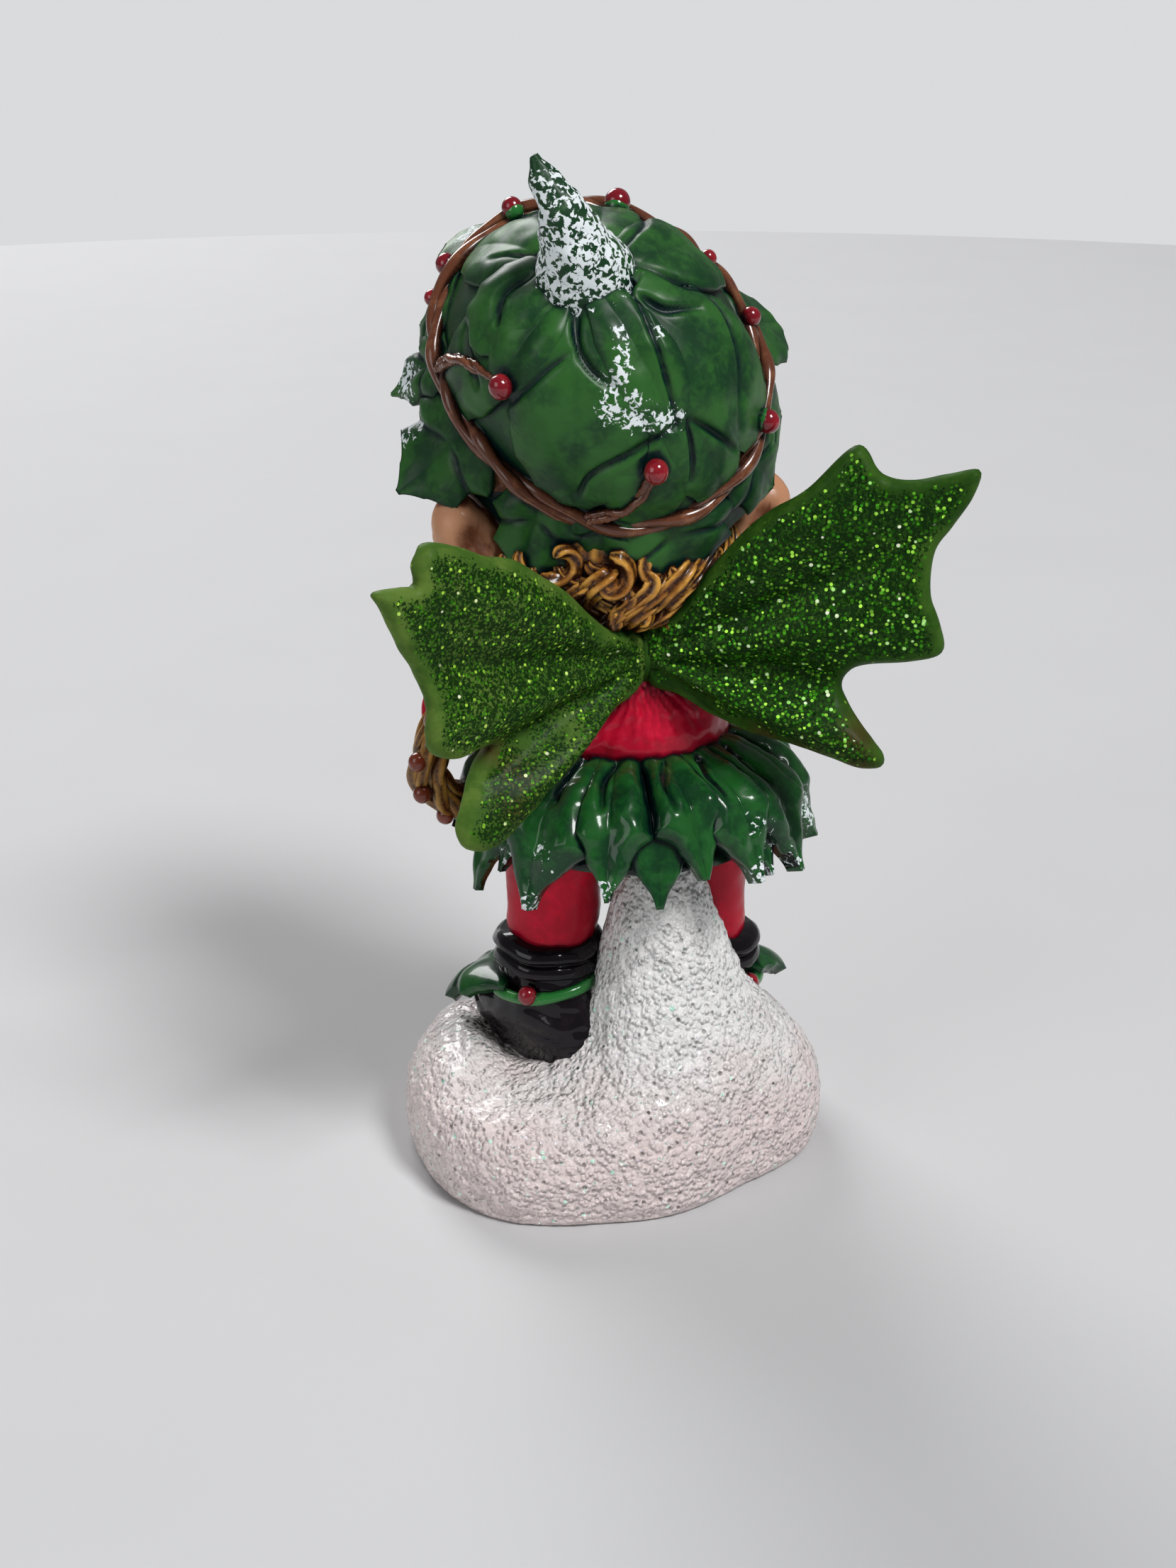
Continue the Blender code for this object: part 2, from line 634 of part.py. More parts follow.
def crown_profile(reach, angle):
    """Dome of the hat, from its top to a little past its rim."""
    polar = reach / HAT_REACH * HAT_SLOPE
    swell = 1.0 + hat_swell(angle) * (math.sin(polar) / math.sin(HAT_SLOPE)) ** 2
    radius = HAT_RADIUS * swell * math.sin(polar) / math.sin(HAT_SLOPE)
    share = (math.cos(polar) - math.cos(HAT_SLOPE)) / (1.0 - math.cos(HAT_SLOPE))
    return radius, HAT_DEPTH * share


def brim_profile(reach, angle):
    """Flare of the brim, from the twig ring towards the face."""
    past = reach - HAT_RADIUS
    flare = 0.42 - 0.24 * math.sin(angle)
    radius = HAT_RADIUS * (1.0 + hat_swell(angle)) - 0.7 + flare * past
    return radius, 0.6 - math.sqrt(1.0 - flare**2) * past


def hat(material):
    """Hat of big holly leaves over a dome, a brim of leaves and a curved stem."""
    axes = hat_axes()
    crown = revolved(HAT_CENTRE, axes, crown_profile)
    brim = revolved(HAT_CENTRE, axes, brim_profile)
    rings = []
    angles = np.linspace(0.0, 2.0 * math.pi, 28, endpoint=False)
    for share in (0.12, 0.28, 0.46, 0.64, 0.82, 1.0):
        reach = share * HAT_REACH
        rings.append([crown(reach * math.cos(a), reach * math.sin(a), 0.0) for a in angles])
    for past in (2.5, 6.0, 8.6):
        reach = HAT_RADIUS + past
        rings.append([brim(reach * math.cos(a), reach * math.sin(a), -0.4) for a in angles])
    reach = HAT_RADIUS + 9.0
    rings.append([brim(reach * math.cos(a), reach * math.sin(a), -4.5) for a in angles])
    forms = [loft("hat_dome", rings, material)]
    crown_leaves = (
        ("top", (80, 6.0), (92, 25.0), 7.0), ("top_left", (52, 7.0), (42, 25.5), 6.6),
        ("left_low", (8, 6.0), (-16, 27.5), 7.0), ("top_right", (117, 5.0), (136, 26.5), 7.6),
        ("low", (-108, 11.0), (-103, 27.0), 6.6), ("low_right", (-131, 9.0), (-130, 27.0), 6.2),
        ("right", (165, 2.5), (-156, 26.5), 8.8), ("low_middle", (15, 3.0), (-79, 24.5), 9.6),
        ("left_small", (12, 5.0), (-31, 16.5), 4.2), ("left", (42, 8.5), (-9, 17.0), 5.2),
        ("middle", (60, 1.0), (-121, 16.0), 4.5),
    )
    for number, (label, root, tip, half_width) in enumerate(crown_leaves):
        forms.append(
            leaf(
                f"crown_leaf_{label}",
                crown,
                root,
                tip,
                half_width,
                0.7 + CROWN_STEP * number,
                material,
                belly=1.1,
                sink=1.2,
                cleft=0.45,
                outline=ROUND_LEAF,
            )
        )
    brim_leaves = (
        (64, 11.0, 8.5, 0.4), (90, 12.0, 8.5, 0.0), (116, 11.5, 8.5, 0.0), (141, 12.0, 8.0, 0.0),
        (160, 11.6, 7.8, 3.6), (-168, 8.6, 8.0, 0.0), (-146, 9.6, 7.0, 0.0), (-112, 11.8, 9.6, 0.0),
        (-89, 8.0, 6.0, 0.0), (-67, 12.4, 7.2, 3.0), (-27, 13.6, 10.0, 5.4), (3, 14.4, 5.4, 1.6),
        (24, 11.0, 7.5, 0.6), (50, 9.5, 6.6, 4.0),
    )
    for number, (heading, length, half_width, curl) in enumerate(brim_leaves):
        root = (heading + 2.0, HAT_RADIUS - 1.0)
        tip = (heading - 1.5, HAT_RADIUS + length)
        outline = ROUND_LEAF if heading in (160, 50) else LONG_LEAF
        label = f"brim_leaf_{number:02d}"
        forms.append(
            leaf(label, brim, root, tip, half_width, 1.4, material, belly=1.3, curl=curl, outline=outline)
        )
    forms.append(stem(material, crown))
    return forms


def stem(material, crown):
    """The horn-like stem: a wide foot on the crown and a thin tip that curves up."""
    foot = crown(2.7, 4.8, -2.5)
    knee = crown(2.9, 5.4, 3.0)
    path = smooth_path((foot, knee, knee + vec((2.4, 1.6, 5.2)), STEM_TIP), 8)
    return tube("hat_stem", path, (7.2, 6.4, 5.5, 4.6, 3.7, 2.7, 1.7, 0.6), material, 12)


def twigs(finishes):
    """Ring of twisted twig round the crown, two short side twigs, and berries."""
    axes = hat_axes()
    crown = revolved(HAT_CENTRE, axes, crown_profile)
    forms = []
    ring = []
    for step in range(44):
        angle = 2.0 * math.pi * step / 44
        reach = HAT_REACH - 0.2 + 0.4 * math.sin(3 * angle + 0.4)
        ring.append(crown(reach * math.cos(angle), reach * math.sin(angle), 0.9))
    thickness = [TWIG_THICKNESS * (1.0 + 0.12 * math.sin(5.0 * step)) for step in range(44)]
    forms.append(tube("twig_ring", ring, thickness, finishes["twig"], 6, closed=True))
    sprigs = (((-3, 25.5), (-8, 20.0), (-32, 15.5)), ((-84, 26.0), (-98, 23.5), (-108, 19.5)))
    for number, knots in enumerate(sprigs):
        route = []
        for degrees, reach in knots:
            angle = math.radians(degrees)
            route.append(crown(reach * math.cos(angle), reach * math.sin(angle), 1.6))
        forms.append(tube(f"side_twig_{number}", smooth_path(route, 6), 0.85, finishes["twig"], 6))
    berries = (
        (62, 26.0, 2.0, 1.35), (97, 24.0, 1.6, 1.7), (136, 26.0, 1.6, 1.1), (164, 26.0, 1.6, 1.3),
        (-157, 25.6, 2.2, 1.5), (-108, 18.6, 3.0, 1.55), (-33, 15.0, 3.0, 1.5), (36, 28.4, 2.0, 1.4),
        (24, 28.2, 1.8, 1.1),
    )
    for number, (degrees, reach, lift, radius) in enumerate(berries):
        angle = math.radians(degrees)
        spot = crown(reach * math.cos(angle), reach * math.sin(angle), lift)
        forms.append(ball(f"hat_berry_{number}", spot, radius, finishes["berry"]))
    return forms


def spread_outline(corners, step):
    """The outline's own corners with points evenly spread between them."""
    points = []
    for here, after in zip(corners, np.roll(corners, -1, axis=0)):
        count = max(1, int(round(np.linalg.norm(after - here) / step)))
        for part in range(count):
            points.append(here + (after - here) * part / count)
    return vec(points)


def wing_lift(spot, ribs):
    """Rise of the wing's face: broad ribs run out from the root, with hollow webs between."""
    span = 46.0
    reach = math.hypot(*spot)
    angle = math.degrees(math.atan2(spot[1], spot[0]))
    rib = max(rise * math.exp(-(((angle - middle) / width) ** 2)) for middle, width, rise in ribs)
    arch = math.sin(math.pi * min(reach / span, 1.0))
    return (rib - WING_WEB) * arch


def wing(name, side, outline, ribs, material):
    """A holly-leaf wing: a thin cushion over its outline, ribbed on both faces."""
    corners = []
    for degrees, reach in outline:
        angle = math.radians(degrees)
        corners.append((reach * math.cos(angle), reach * math.sin(angle)))
    border = spread_outline(vec(corners), WING_BORDER_STEP)
    inner = []
    reach = max(length for _, length in outline)
    row_gap = WING_MESH * math.sin(math.radians(60.0))
    rows = math.ceil(reach / row_gap)
    for row in range(-rows, rows + 1):
        for col in range(math.ceil(reach / WING_MESH)):
            spot = vec((col * WING_MESH + (row % 2) * WING_MESH / 2.0, row * row_gap))
            if gap_inside(spot, border) > 1.5 * WING_EDGE_ROUND:
                inner.append(spot)
    near = [edge_inset(border, index, WING_EDGE_ROUND) for index in range(len(border))]
    inner.extend(spot for spot in near if gap_inside(spot, border) > 0.7)
    flat = [Vector(p) for p in border] + [Vector(p) for p in inner]
    edges = [(k, (k + 1) % len(border)) for k in range(len(border))]
    spots, _, triangles, origins, _, _ = delaunay_2d_cdt(flat, edges, [], 1, 0.0001)
    rim = {k for k, sources in enumerate(origins) if any(s < len(border) for s in sources)}
    outward = vec((side * math.cos(WING_SWEEP), math.sin(WING_SWEEP), 0.0))
    facing = vec((-side * math.sin(WING_SWEEP), math.cos(WING_SWEEP), 0.0))
    points = []
    front = {}
    back = {}
    for k, spot in enumerate(spots):
        middle = vec(WING_ROOT) + outward * spot[0] + vec((0.0, 0.0, spot[1]))
        middle = middle + facing * wing_lift(spot, ribs)
        if k in rim:
            front[k] = back[k] = len(points)
            points.append(middle)
            continue
        half = WING_THICKNESS / 2.0
        front[k] = len(points)
        points.append(middle + facing * half)
        back[k] = len(points)
        points.append(middle - facing * half)
    faces = [tuple(front[v] for v in triangle) for triangle in triangles]
    faces.extend(tuple(back[v] for v in reversed(triangle)) for triangle in triangles)
    return solid(name, points, faces, material)


def gap_inside(spot, border):
    """Distance from a spot inside the outline to it; negative outside."""
    starts = border
    ends = np.roll(border, -1, axis=0)
    spans = ends - starts
    offsets = spot - starts
    share = np.clip((offsets * spans).sum(axis=1) / (spans**2).sum(axis=1), 0.0, 1.0)
    nearest = np.linalg.norm(offsets - spans * share[:, None], axis=1).min()
    crossing = (starts[:, 1] > spot[1]) != (ends[:, 1] > spot[1])
    height = np.where(spans[:, 1] == 0.0, 1e-9, spans[:, 1])
    meets = starts[:, 0] + (spot[1] - starts[:, 1]) / height * spans[:, 0]
    inside = np.count_nonzero(crossing & (spot[0] < meets)) % 2 == 1
    return nearest if inside else -nearest


def edge_inset(border, index, distance):
    """The spot a small way in from a point of the outline, which runs clockwise."""
    before = border[index - 1]
    after = border[(index + 1) % len(border)]
    way = unit(after - before)
    return border[index] + distance * vec((way[1], -way[0]))


def wreath(finishes):
    """The vine wreath in the left hand, with berries on its outer side."""
    facing = unit((0.4, -0.9, 0.1))
    right = unit(np.cross(facing, (0.0, 0.0, 1.0)))
    up = np.cross(right, facing)
    path = []
    for step in range(20):
        angle = 2.0 * math.pi * step / 20
        path.append(vec(WREATH_CENTRE) + WREATH_RADIUS * (math.cos(angle) * right + math.sin(angle) * up))
    radii = [WREATH_TUBE * (1.0 + 0.1 * math.sin(3.0 * step)) for step in range(20)]
    forms = [tube("wreath_ring", path, radii, finishes["vine"], 10, closed=True)]
    for number, degrees in enumerate((40, 5, -25, 75, -60)):
        angle = math.radians(degrees)
        reach = WREATH_RADIUS + WREATH_TUBE * 0.8
        spot = vec(WREATH_CENTRE) - reach * math.cos(angle) * right + reach * math.sin(angle) * up
        forms.append(ball(f"wreath_berry_{number}", spot - facing * 0.8, 1.3, finishes["berry"]))
    return forms


def unite(name, forms):
    """Unite the forms into one casting with its outer skin alone, in fewer facets."""
    guides = bpy.data.collections.new("forms_of_the_casting")
    body = forms[0]
    body.name = name
    for form in forms[1:]:
        guides.objects.link(form)
    join = body.modifiers.new("one_casting", "BOOLEAN")
    join.operation = "UNION"
    join.operand_type = "COLLECTION"
    join.collection = guides
    join.solver = "EXACT"
    join.material_mode = "TRANSFER"
    ready = body.evaluated_get(bpy.context.evaluated_depsgraph_get())
    casting = bpy.data.meshes.new_from_object(ready)
    body.modifiers.clear()
    keep_outer_skin(casting)
    body.data = casting
    for form in forms[1:]:
        bpy.data.objects.remove(form, do_unlink=True)
    thin = body.modifiers.new("fewer_facets", "DECIMATE")
    thin.decimate_type = "COLLAPSE"
    thin.ratio = FACET_SHARE


def keep_outer_skin(mesh):
    """Keep only the largest connected skin of a mesh."""
    shape = bmesh.new()
    shape.from_mesh(mesh)
    waiting = set(shape.verts)
    skins = []
    while waiting:
        front = [waiting.pop()]
        skin = set(front)
        while front:
            for edge in front.pop().link_edges:
                for point in edge.verts:
                    if point in waiting:
                        waiting.discard(point)
                        skin.add(point)
                        front.append(point)
        skins.append(skin)
    skins.sort(key=len)
    for skin in skins[:-1]:
        bmesh.ops.delete(shape, geom=list(skin), context="VERTS")
    bmesh.ops.triangulate(shape, faces=shape.faces)
    shape.to_mesh(mesh)
    shape.free()


def main():
    """Build the figure."""
    clear_scene()
    finishes = {
        "snow": paint("snow_white", (0.82, 0.78, 0.77), 0.55),
        "red": paint("gloss_red", (0.52, 0.01, 0.03), 0.25),
        "black": paint("gloss_black", (0.012, 0.012, 0.014), 0.2),
        "band": paint("bright_green", (0.03, 0.22, 0.04), 0.3),
        "holly": paint("holly_green", (0.012, 0.12, 0.04), 0.3),
        "wing": paint("glitter_green", (0.11, 0.27, 0.02), 0.4),
        "flesh": paint("flesh", (0.62, 0.32, 0.18), 0.45),
        "hair": paint("golden_brown", (0.42, 0.2, 0.05), 0.4),
        "twig": paint("twig_brown", (0.16, 0.06, 0.03), 0.3),
        "berry": paint("berry_red", (0.3, 0.01, 0.02), 0.2),
        "vine": paint("vine_brown", (0.35, 0.19, 0.05), 0.45),
    }
    forms = snow_base(finishes["snow"])
    forms += leg_and_boot(1, LEFT_LEG, LEFT_BOOT_SOLE, finishes)
    forms += leg_and_boot(-1, RIGHT_LEG, RIGHT_BOOT_SOLE, finishes)
    forms += skirt(finishes["holly"])
    forms += jacket(finishes["red"])
    forms += arms(finishes)
    forms += head(finishes)
    forms += hair(finishes["hair"])
    forms += hat(finishes["holly"])
    forms += twigs(finishes)
    joint = vec(WING_ROOT) - vec((0.0, 1.4, 0.0))
    forms.append(ball("wing_joint", joint, (3.2, 3.4, 4.2), finishes["wing"]))
    forms.append(wing("wing_right", -1, RIGHT_WING, RIGHT_RIBS, finishes["wing"]))
    forms.append(wing("wing_left", 1, LEFT_WING, LEFT_RIBS, finishes["wing"]))
    forms += wreath(finishes)
    unite("elf_figurine", forms)


if __name__ == "__main__":
    main()
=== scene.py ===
"""Looks of a cast and painted elf figurine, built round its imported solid.

Every form is made again at a fine step from the solid's own sizes, as one painted
piece each, and rides on the figure's only body.  Sizes are millimetres in the
figure's frame: the elf faces -Y, its back and its wings are towards +Y, its left
hand is at +X, and the flat underside of the snow is at z 0.
"""

from __future__ import annotations

import logging
import math
from dataclasses import dataclass, field, replace
from enum import Enum
from typing import Callable, Sequence, Union

import bmesh
import bpy
import numpy as np
from mathutils import Matrix, Vector, noise
from mathutils.bvhtree import BVHTree
from mathutils.geometry import delaunay_2d_cdt


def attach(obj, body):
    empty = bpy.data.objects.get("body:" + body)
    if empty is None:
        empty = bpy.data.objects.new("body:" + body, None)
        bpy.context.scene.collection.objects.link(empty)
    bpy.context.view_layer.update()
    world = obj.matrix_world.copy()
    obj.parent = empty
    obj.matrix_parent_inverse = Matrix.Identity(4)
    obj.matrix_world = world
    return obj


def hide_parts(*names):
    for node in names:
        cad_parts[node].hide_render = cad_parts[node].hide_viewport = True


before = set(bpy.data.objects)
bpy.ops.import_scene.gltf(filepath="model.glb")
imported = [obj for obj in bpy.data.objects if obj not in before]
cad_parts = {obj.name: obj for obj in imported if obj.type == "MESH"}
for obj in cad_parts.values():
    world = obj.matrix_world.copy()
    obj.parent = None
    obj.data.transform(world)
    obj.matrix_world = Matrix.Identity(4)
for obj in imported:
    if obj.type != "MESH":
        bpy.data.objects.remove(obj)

LOG = logging.getLogger("elf_figurine")
NODE = "elf_figurine"
BODY = "root"
MM = 0.001
TAU = 2 * math.pi
AHEAD = (1, -1, 1)
MID_GREY = (0.5, 0.5, 0.5)

Array = np.ndarray
Colour = tuple[float, float, float]
Place = tuple[float, float]
Point = tuple[float, float, float]
Masks = dict[str, Array]
Profile = Callable[[Array, Array], tuple[Array, Array]]
Socket = bpy.types.NodeSocket


class Slot(Enum):
    """Names of the material slots."""

    HOLLY = "holly_green_paint"
    WING = "wing_glitter"
    SNOW = "snow_white_paint"
    RED = "red_paint"
    BLACK = "black_paint"
    FLESH = "flesh_paint"
    HAIR = "hair_paint"
    TWIG = "twig_paint"
    BERRY = "berry_paint"


class Side(Enum):
    """The elf's own sides, as the sign of x."""

    LEFT = 1
    RIGHT = -1


def vec(values: Sequence[float]) -> Array:
    """A numpy vector of floats."""
    return np.array(values, dtype=float)


def unit(vector: Sequence[float]) -> Array:
    """The vector, or each row of an array, at length one."""
    vector = np.asarray(vector, dtype=float)
    return vector / np.linalg.norm(vector, axis=-1, keepdims=True)


def clamp(values: Array) -> Array:
    """The values, held between 0 and 1."""
    return np.clip(values, 0, 1)


def lengths(vectors: Array) -> Array:
    """How long each vector on the last axis is."""
    return np.linalg.norm(vectors, axis=-1)


def circle(count: int) -> Array:
    """Even angles round a full turn."""
    return np.linspace(0, TAU, count, endpoint=False)


def stacked(*columns: Array | float) -> Array:
    """Columns, spread to one shape, as the last axis of one array."""
    return np.stack(np.broadcast_arrays(*columns), axis=-1)


def direction(turn: Array | float, rise: Array | float) -> Array:
    """The way at an angle from +Y towards +X and at a rise above level."""
    return stacked(np.sin(turn) * np.cos(rise), np.cos(turn) * np.cos(rise), np.sin(rise))


def bell(value: Array, width: float) -> Array:
    """A soft bump: 1 where the value is 0, falling off over the width."""
    return np.exp(-((value / width) ** 2))


def along_curve(knots: Sequence, count: int, closes: bool = False) -> Array:
    """Points on a smooth curve through knots of any dimension.

    Args:
        knots: The places that the curve goes through.
        count: How many points to read from it.
        closes: Whether the last knot runs on to the first.

    Returns:
        The points, one row each.
    """
    knots = np.asarray(knots, dtype=float)
    total = len(knots)
    spans = total if closes else total - 1
    places = np.linspace(0, spans, count, endpoint=not closes)
    first = np.minimum(places.astype(int), spans - 1)
    share = (places - first)[:, None]
    picks = [first + step for step in (-1, 0, 1, 2)]
    picks = [pick % total if closes else np.clip(pick, 0, total - 1) for pick in picks]
    a, b, c, d = (knots[pick] for pick in picks)
    bend = a - 2.5 * b + 2 * c - 0.5 * d
    twist = -0.5 * a + 1.5 * b - 1.5 * c + 0.5 * d
    return b + 0.5 * share * (c - a) + share**2 * bend + share**3 * twist


def blend(values: Sequence[float], count: int) -> Array:
    """Numbers on a smooth curve through a few values."""
    return along_curve([[value] for value in values], count)[:, 0]


def lumps(points: Array, size: float, octaves: int, seed: float = 0.0) -> Array:
    """Smooth random lumps between about -1 and 1.

    Args:
        points: The places to read, one row each.
        size: Width of the largest lumps.
        octaves: How many finer layers lie on them.
        seed: Shifts the pattern.

    Returns:
        One value for each place.
    """
    spots = (points / size + seed).tolist()
    return np.array([noise.fractal(spot, 0.9, 2.1, octaves) for spot in spots])


@dataclass
class Shell:
    """Points, faces and painted masks of a form.

    A mask holds one number for each point: fold is 1 in a cut crease, which the paint darkens as a dark wash
    and painted shade; crest is 1 on a raised part, which it lightens as dry-brushing and painted highlight,
    and on a wing's rim, whose paint is lighter; snow is how thickly white specks lie, gilt is how thickly
    glitter lies, and blush is how red the skin is.
    """

    points: Array
    faces: list[tuple[int, ...]]
    masks: Masks = field(default_factory=dict)

    def normals(self) -> Array:
        """The direction out of the skin at each point.

        Returns:
            Unit vectors, one row each.
        """
        total = np.zeros_like(self.points)
        for group in self.groups():
            corners = self.points[group]
            across = corners[:, 2] - corners[:, 0]
            if group.shape[1] == 3:
                facing = np.cross(corners[:, 1] - corners[:, 0], across)
            else:
                facing = np.cross(across, corners[:, 3] - corners[:, 1])
            for column in group.T:
                np.add.at(total, column, facing)
        return unit(total + 1e-12)

    def groups(self) -> list[Array]:
        """The triangles and the four-sided faces, each as an array of corners."""
        groups = [[face for face in self.faces if len(face) == sides] for sides in (3, 4)]
        return [np.array(group) for group in groups if group]

    def pushed(self, amount: Array) -> Shell:
        """The form with each point moved out of its skin by an amount."""
        return Shell(self.points + self.normals() * amount[:, None], self.faces, self.masks)

    def lumpy(self, rise: float, size: float, octaves: int, seed: float) -> Shell:
        """The form with smooth lumps of a size that rise by about an amount."""
        return self.pushed(rise * lumps(self.points, size, octaves, seed))


def joined(shells: Sequence[Shell]) -> Shell:
    """Several forms as one, with zeros where a form lacks another's mask.

    Args:
        shells: The forms.

    Returns:
        One form with all their points, faces and masks.
    """
    names = sorted({name for shell in shells for name in shell.masks})
    faces: list[tuple[int, ...]] = []
    start = 0
    for shell in shells:
        faces.extend(tuple(corner + start for corner in face) for face in shell.faces)
        start += len(shell.points)
    masks = {
        name: np.concatenate([s.masks.get(name, np.zeros(len(s.points))) for s in shells])
        for name in names
    }
    return Shell(np.concatenate([shell.points for shell in shells]), faces, masks)


def loft(rings: Array, closes: bool = False, masks: Masks | None = None) -> Shell:
    """A skin over rings of equal count.

    Args:
        rings: Rows of ring points.
        closes: Whether the last ring meets the first; otherwise both ends are capped.
        masks: Values for each ring point.

    Returns:
        The closed form, wound so that it faces out.
    """
    rows, count = rings.shape[:2]
    spans = rows if closes else rows - 1
    row = np.arange(spans)[:, None]
    here = np.arange(count)[None, :]
    after = (here + 1) % count
    low = row * count
    high = (row + 1) % rows * count
    quads = stacked(low + here, low + after, high + after, high + here)
    faces = [tuple(quad) for quad in quads.reshape(-1, 4).tolist()]
    points = rings.reshape(-1, 3)
    flat = {name: np.asarray(mask, dtype=float).reshape(-1) for name, mask in (masks or {}).items()}
    if not closes:
        for ring, flip in ((0, True), (rows - 1, False)):
            hub = len(points)
            points = np.vstack([points, rings[ring].mean(axis=0)])
            flat = {name: np.append(mask, mask[ring * count]) for name, mask in flat.items()}
            for col in range(count):
                edge = (ring * count + col, ring * count + (col + 1) % count)
                faces.append((edge[1], edge[0], hub) if flip else (edge[0], edge[1], hub))
    shell = Shell(points, faces, flat)
    return shell if volume(shell) > 0 else Shell(points, [face[::-1] for face in faces], flat)


def volume(shell: Shell) -> float:
    """Six times the space that a form encloses; negative if it is inside out.

    Args:
        shell: The form.

    Returns:
        The number, in cubic millimetres.
    """
    middle = shell.points.mean(axis=0)
    total = 0
    for group in shell.groups():
        corners = shell.points[group] - middle
        for second in range(1, group.shape[1] - 1):
            spans = np.cross(corners[:, second], corners[:, second + 1])
            total += float((corners[:, 0] * spans).sum())
    return total


def oval(middle: Array, half_x: Array, half_y: Array, sides: int, turn: float = 0.0) -> Array:
    """Level oval rings, one for each row of middles.

    Args:
        middle: Centres, one row each.
        half_x: Half width of each ring.
        half_y: Half depth of each ring.
        sides: Points on a ring.
        turn: Angle of the long axis.

    Returns:
        Rows of ring points.
    """
    angles = circle(sides)[None, :]
    across = np.asarray(half_x, dtype=float)[:, None] * np.cos(angles)
    along = np.asarray(half_y, dtype=float)[:, None] * np.sin(angles)
    offsets = np.zeros((len(middle), sides, 3))
    offsets[..., 0] = across * math.cos(turn) - along * math.sin(turn)
    offsets[..., 1] = across * math.sin(turn) + along * math.cos(turn)
    return np.asarray(middle, dtype=float)[:, None, :] + offsets


def ball(centre: Sequence[float], radii: Sequence[float], sides: int = 24, rows: int = 18) -> Shell:
    """An egg-shaped ball with its poles up and down.

    Args:
        centre: Its middle.
        radii: Half its width, depth and height.
        sides: Points on a ring.
        rows: Rings from pole to pole.

    Returns:
        The closed form.
    """
    polar = np.linspace(0.06, math.pi - 0.06, rows)
    middle = vec(centre) - np.outer(np.cos(polar), (0, 0, radii[2]))
    wide = np.sin(polar)
    return loft(oval(middle, radii[0] * wide, radii[1] * wide, sides))


def path_frames(path: Array, closes: bool) -> tuple[Array, Array]:
    """Two directions square to a path at each point, which turn as little as they can.

    Args:
        path: The points of the path.
        closes: Whether the path is a ring.

    Returns:
        The two directions, one row for each point.
    """
    if closes:
        heading = unit(np.roll(path, -1, axis=0) - np.roll(path, 1, axis=0))
    else:
        heading = unit(np.gradient(path, axis=0))
    side = unit(np.cross(heading[0], (0.12, 0.31, 0.94)))
    sides = []
    for way in heading:
        side = unit(side - way * side.dot(way))
        sides.append(side)
    sides = np.array(sides)
    ups = np.cross(heading, sides)
    if closes:
        carried = unit(sides[-1] - heading[0] * sides[-1].dot(heading[0]))
        left_over = math.atan2(carried.dot(ups[0]), carried.dot(sides[0]))
        turn = (-left_over * np.arange(len(path)) / len(path))[:, None]
        sides, ups = np.cos(turn) * sides + np.sin(turn) * ups, np.cos(turn) * ups - np.sin(turn) * sides
    return sides, ups


@dataclass(frozen=True)
class Flutes:
    """Grooves along a lock or a strand: their number, depth share and turns."""

    count: int = 0
    depth: float = 0.0
    turns: float = 0.0


def tube(
    path: Array,
    radii: Array | float,
    sides: int = 16,
    closes: bool = False,
    flutes: Flutes = Flutes(),
) -> Shell:
    """A round or fluted tube along a path.

    Args:
        path: The points of its middle line.
        radii: One radius, or one for each point.
        sides: Points on a ring.
        closes: Whether the path is a ring.
        flutes: Grooves along it.

    Returns:
        The closed form.
    """
    side, up = path_frames(path, closes)
    angles = circle(sides)[None, :]
    turned = TAU * flutes.turns * np.linspace(0, 1, len(path))[:, None]
    wave = np.cos(flutes.count * angles + turned) if flutes.count else np.ones((len(path), sides))
    reach = np.broadcast_to(radii, len(path))[:, None] * (1 + flutes.depth * (wave - 1))
    around = np.cos(angles)[..., None] * side[:, None, :] + np.sin(angles)[..., None] * up[:, None, :]
    # Grooves get the fold mask, painted darker with the dark wash and painted shade, and ridges the crest
    # mask, painted lighter as highlight.
    masks = {"fold": (1 - wave) / 2, "crest": (1 + wave) / 2} if flutes.count else None
    return loft(path[:, None, :] + reach[..., None] * around, closes, masks)


@dataclass(frozen=True)
class Turned:
    """A turned form that a flat sheet, with its middle on the axis, is laid over."""

    centre: Array
    right: Array
    up: Array
    axis: Array
    profile: Profile

    def place(self, x: Array, y: Array, lift: Array | float) -> Array:
        """Points over the form.

        Args:
            x: Flat place to the right of the axis.
            y: Flat place up from the axis.
            lift: Height above the skin.

        Returns:
            Points in the figure's frame.
        """
        reach = np.hypot(x, y)
        angle = np.arctan2(y, x)
        radius, height = self.profile(reach, angle)
        radius_on, height_on = self.profile(reach + 0.1, angle)
        slope = unit(stacked(radius_on - radius, height_on - height))
        radius = radius - lift * slope[..., 1]
        height = height + lift * slope[..., 0]
        outward = np.cos(angle)[..., None] * self.right + np.sin(angle)[..., None] * self.up
        return self.centre + radius[..., None] * outward + height[..., None] * self.axis

    def at(self, degrees: float, reach: float, lift: float) -> Array:
        """One point, by its angle on the flat sheet and its reach from the middle."""
        angle = math.radians(degrees)
        return self.place(np.array(reach * math.cos(angle)), np.array(reach * math.sin(angle)), lift)


def upright(centre: Point, profile: Profile) -> Turned:
    """A form that is turned about an upright axis."""
    return Turned(vec(centre), *np.eye(3), profile)


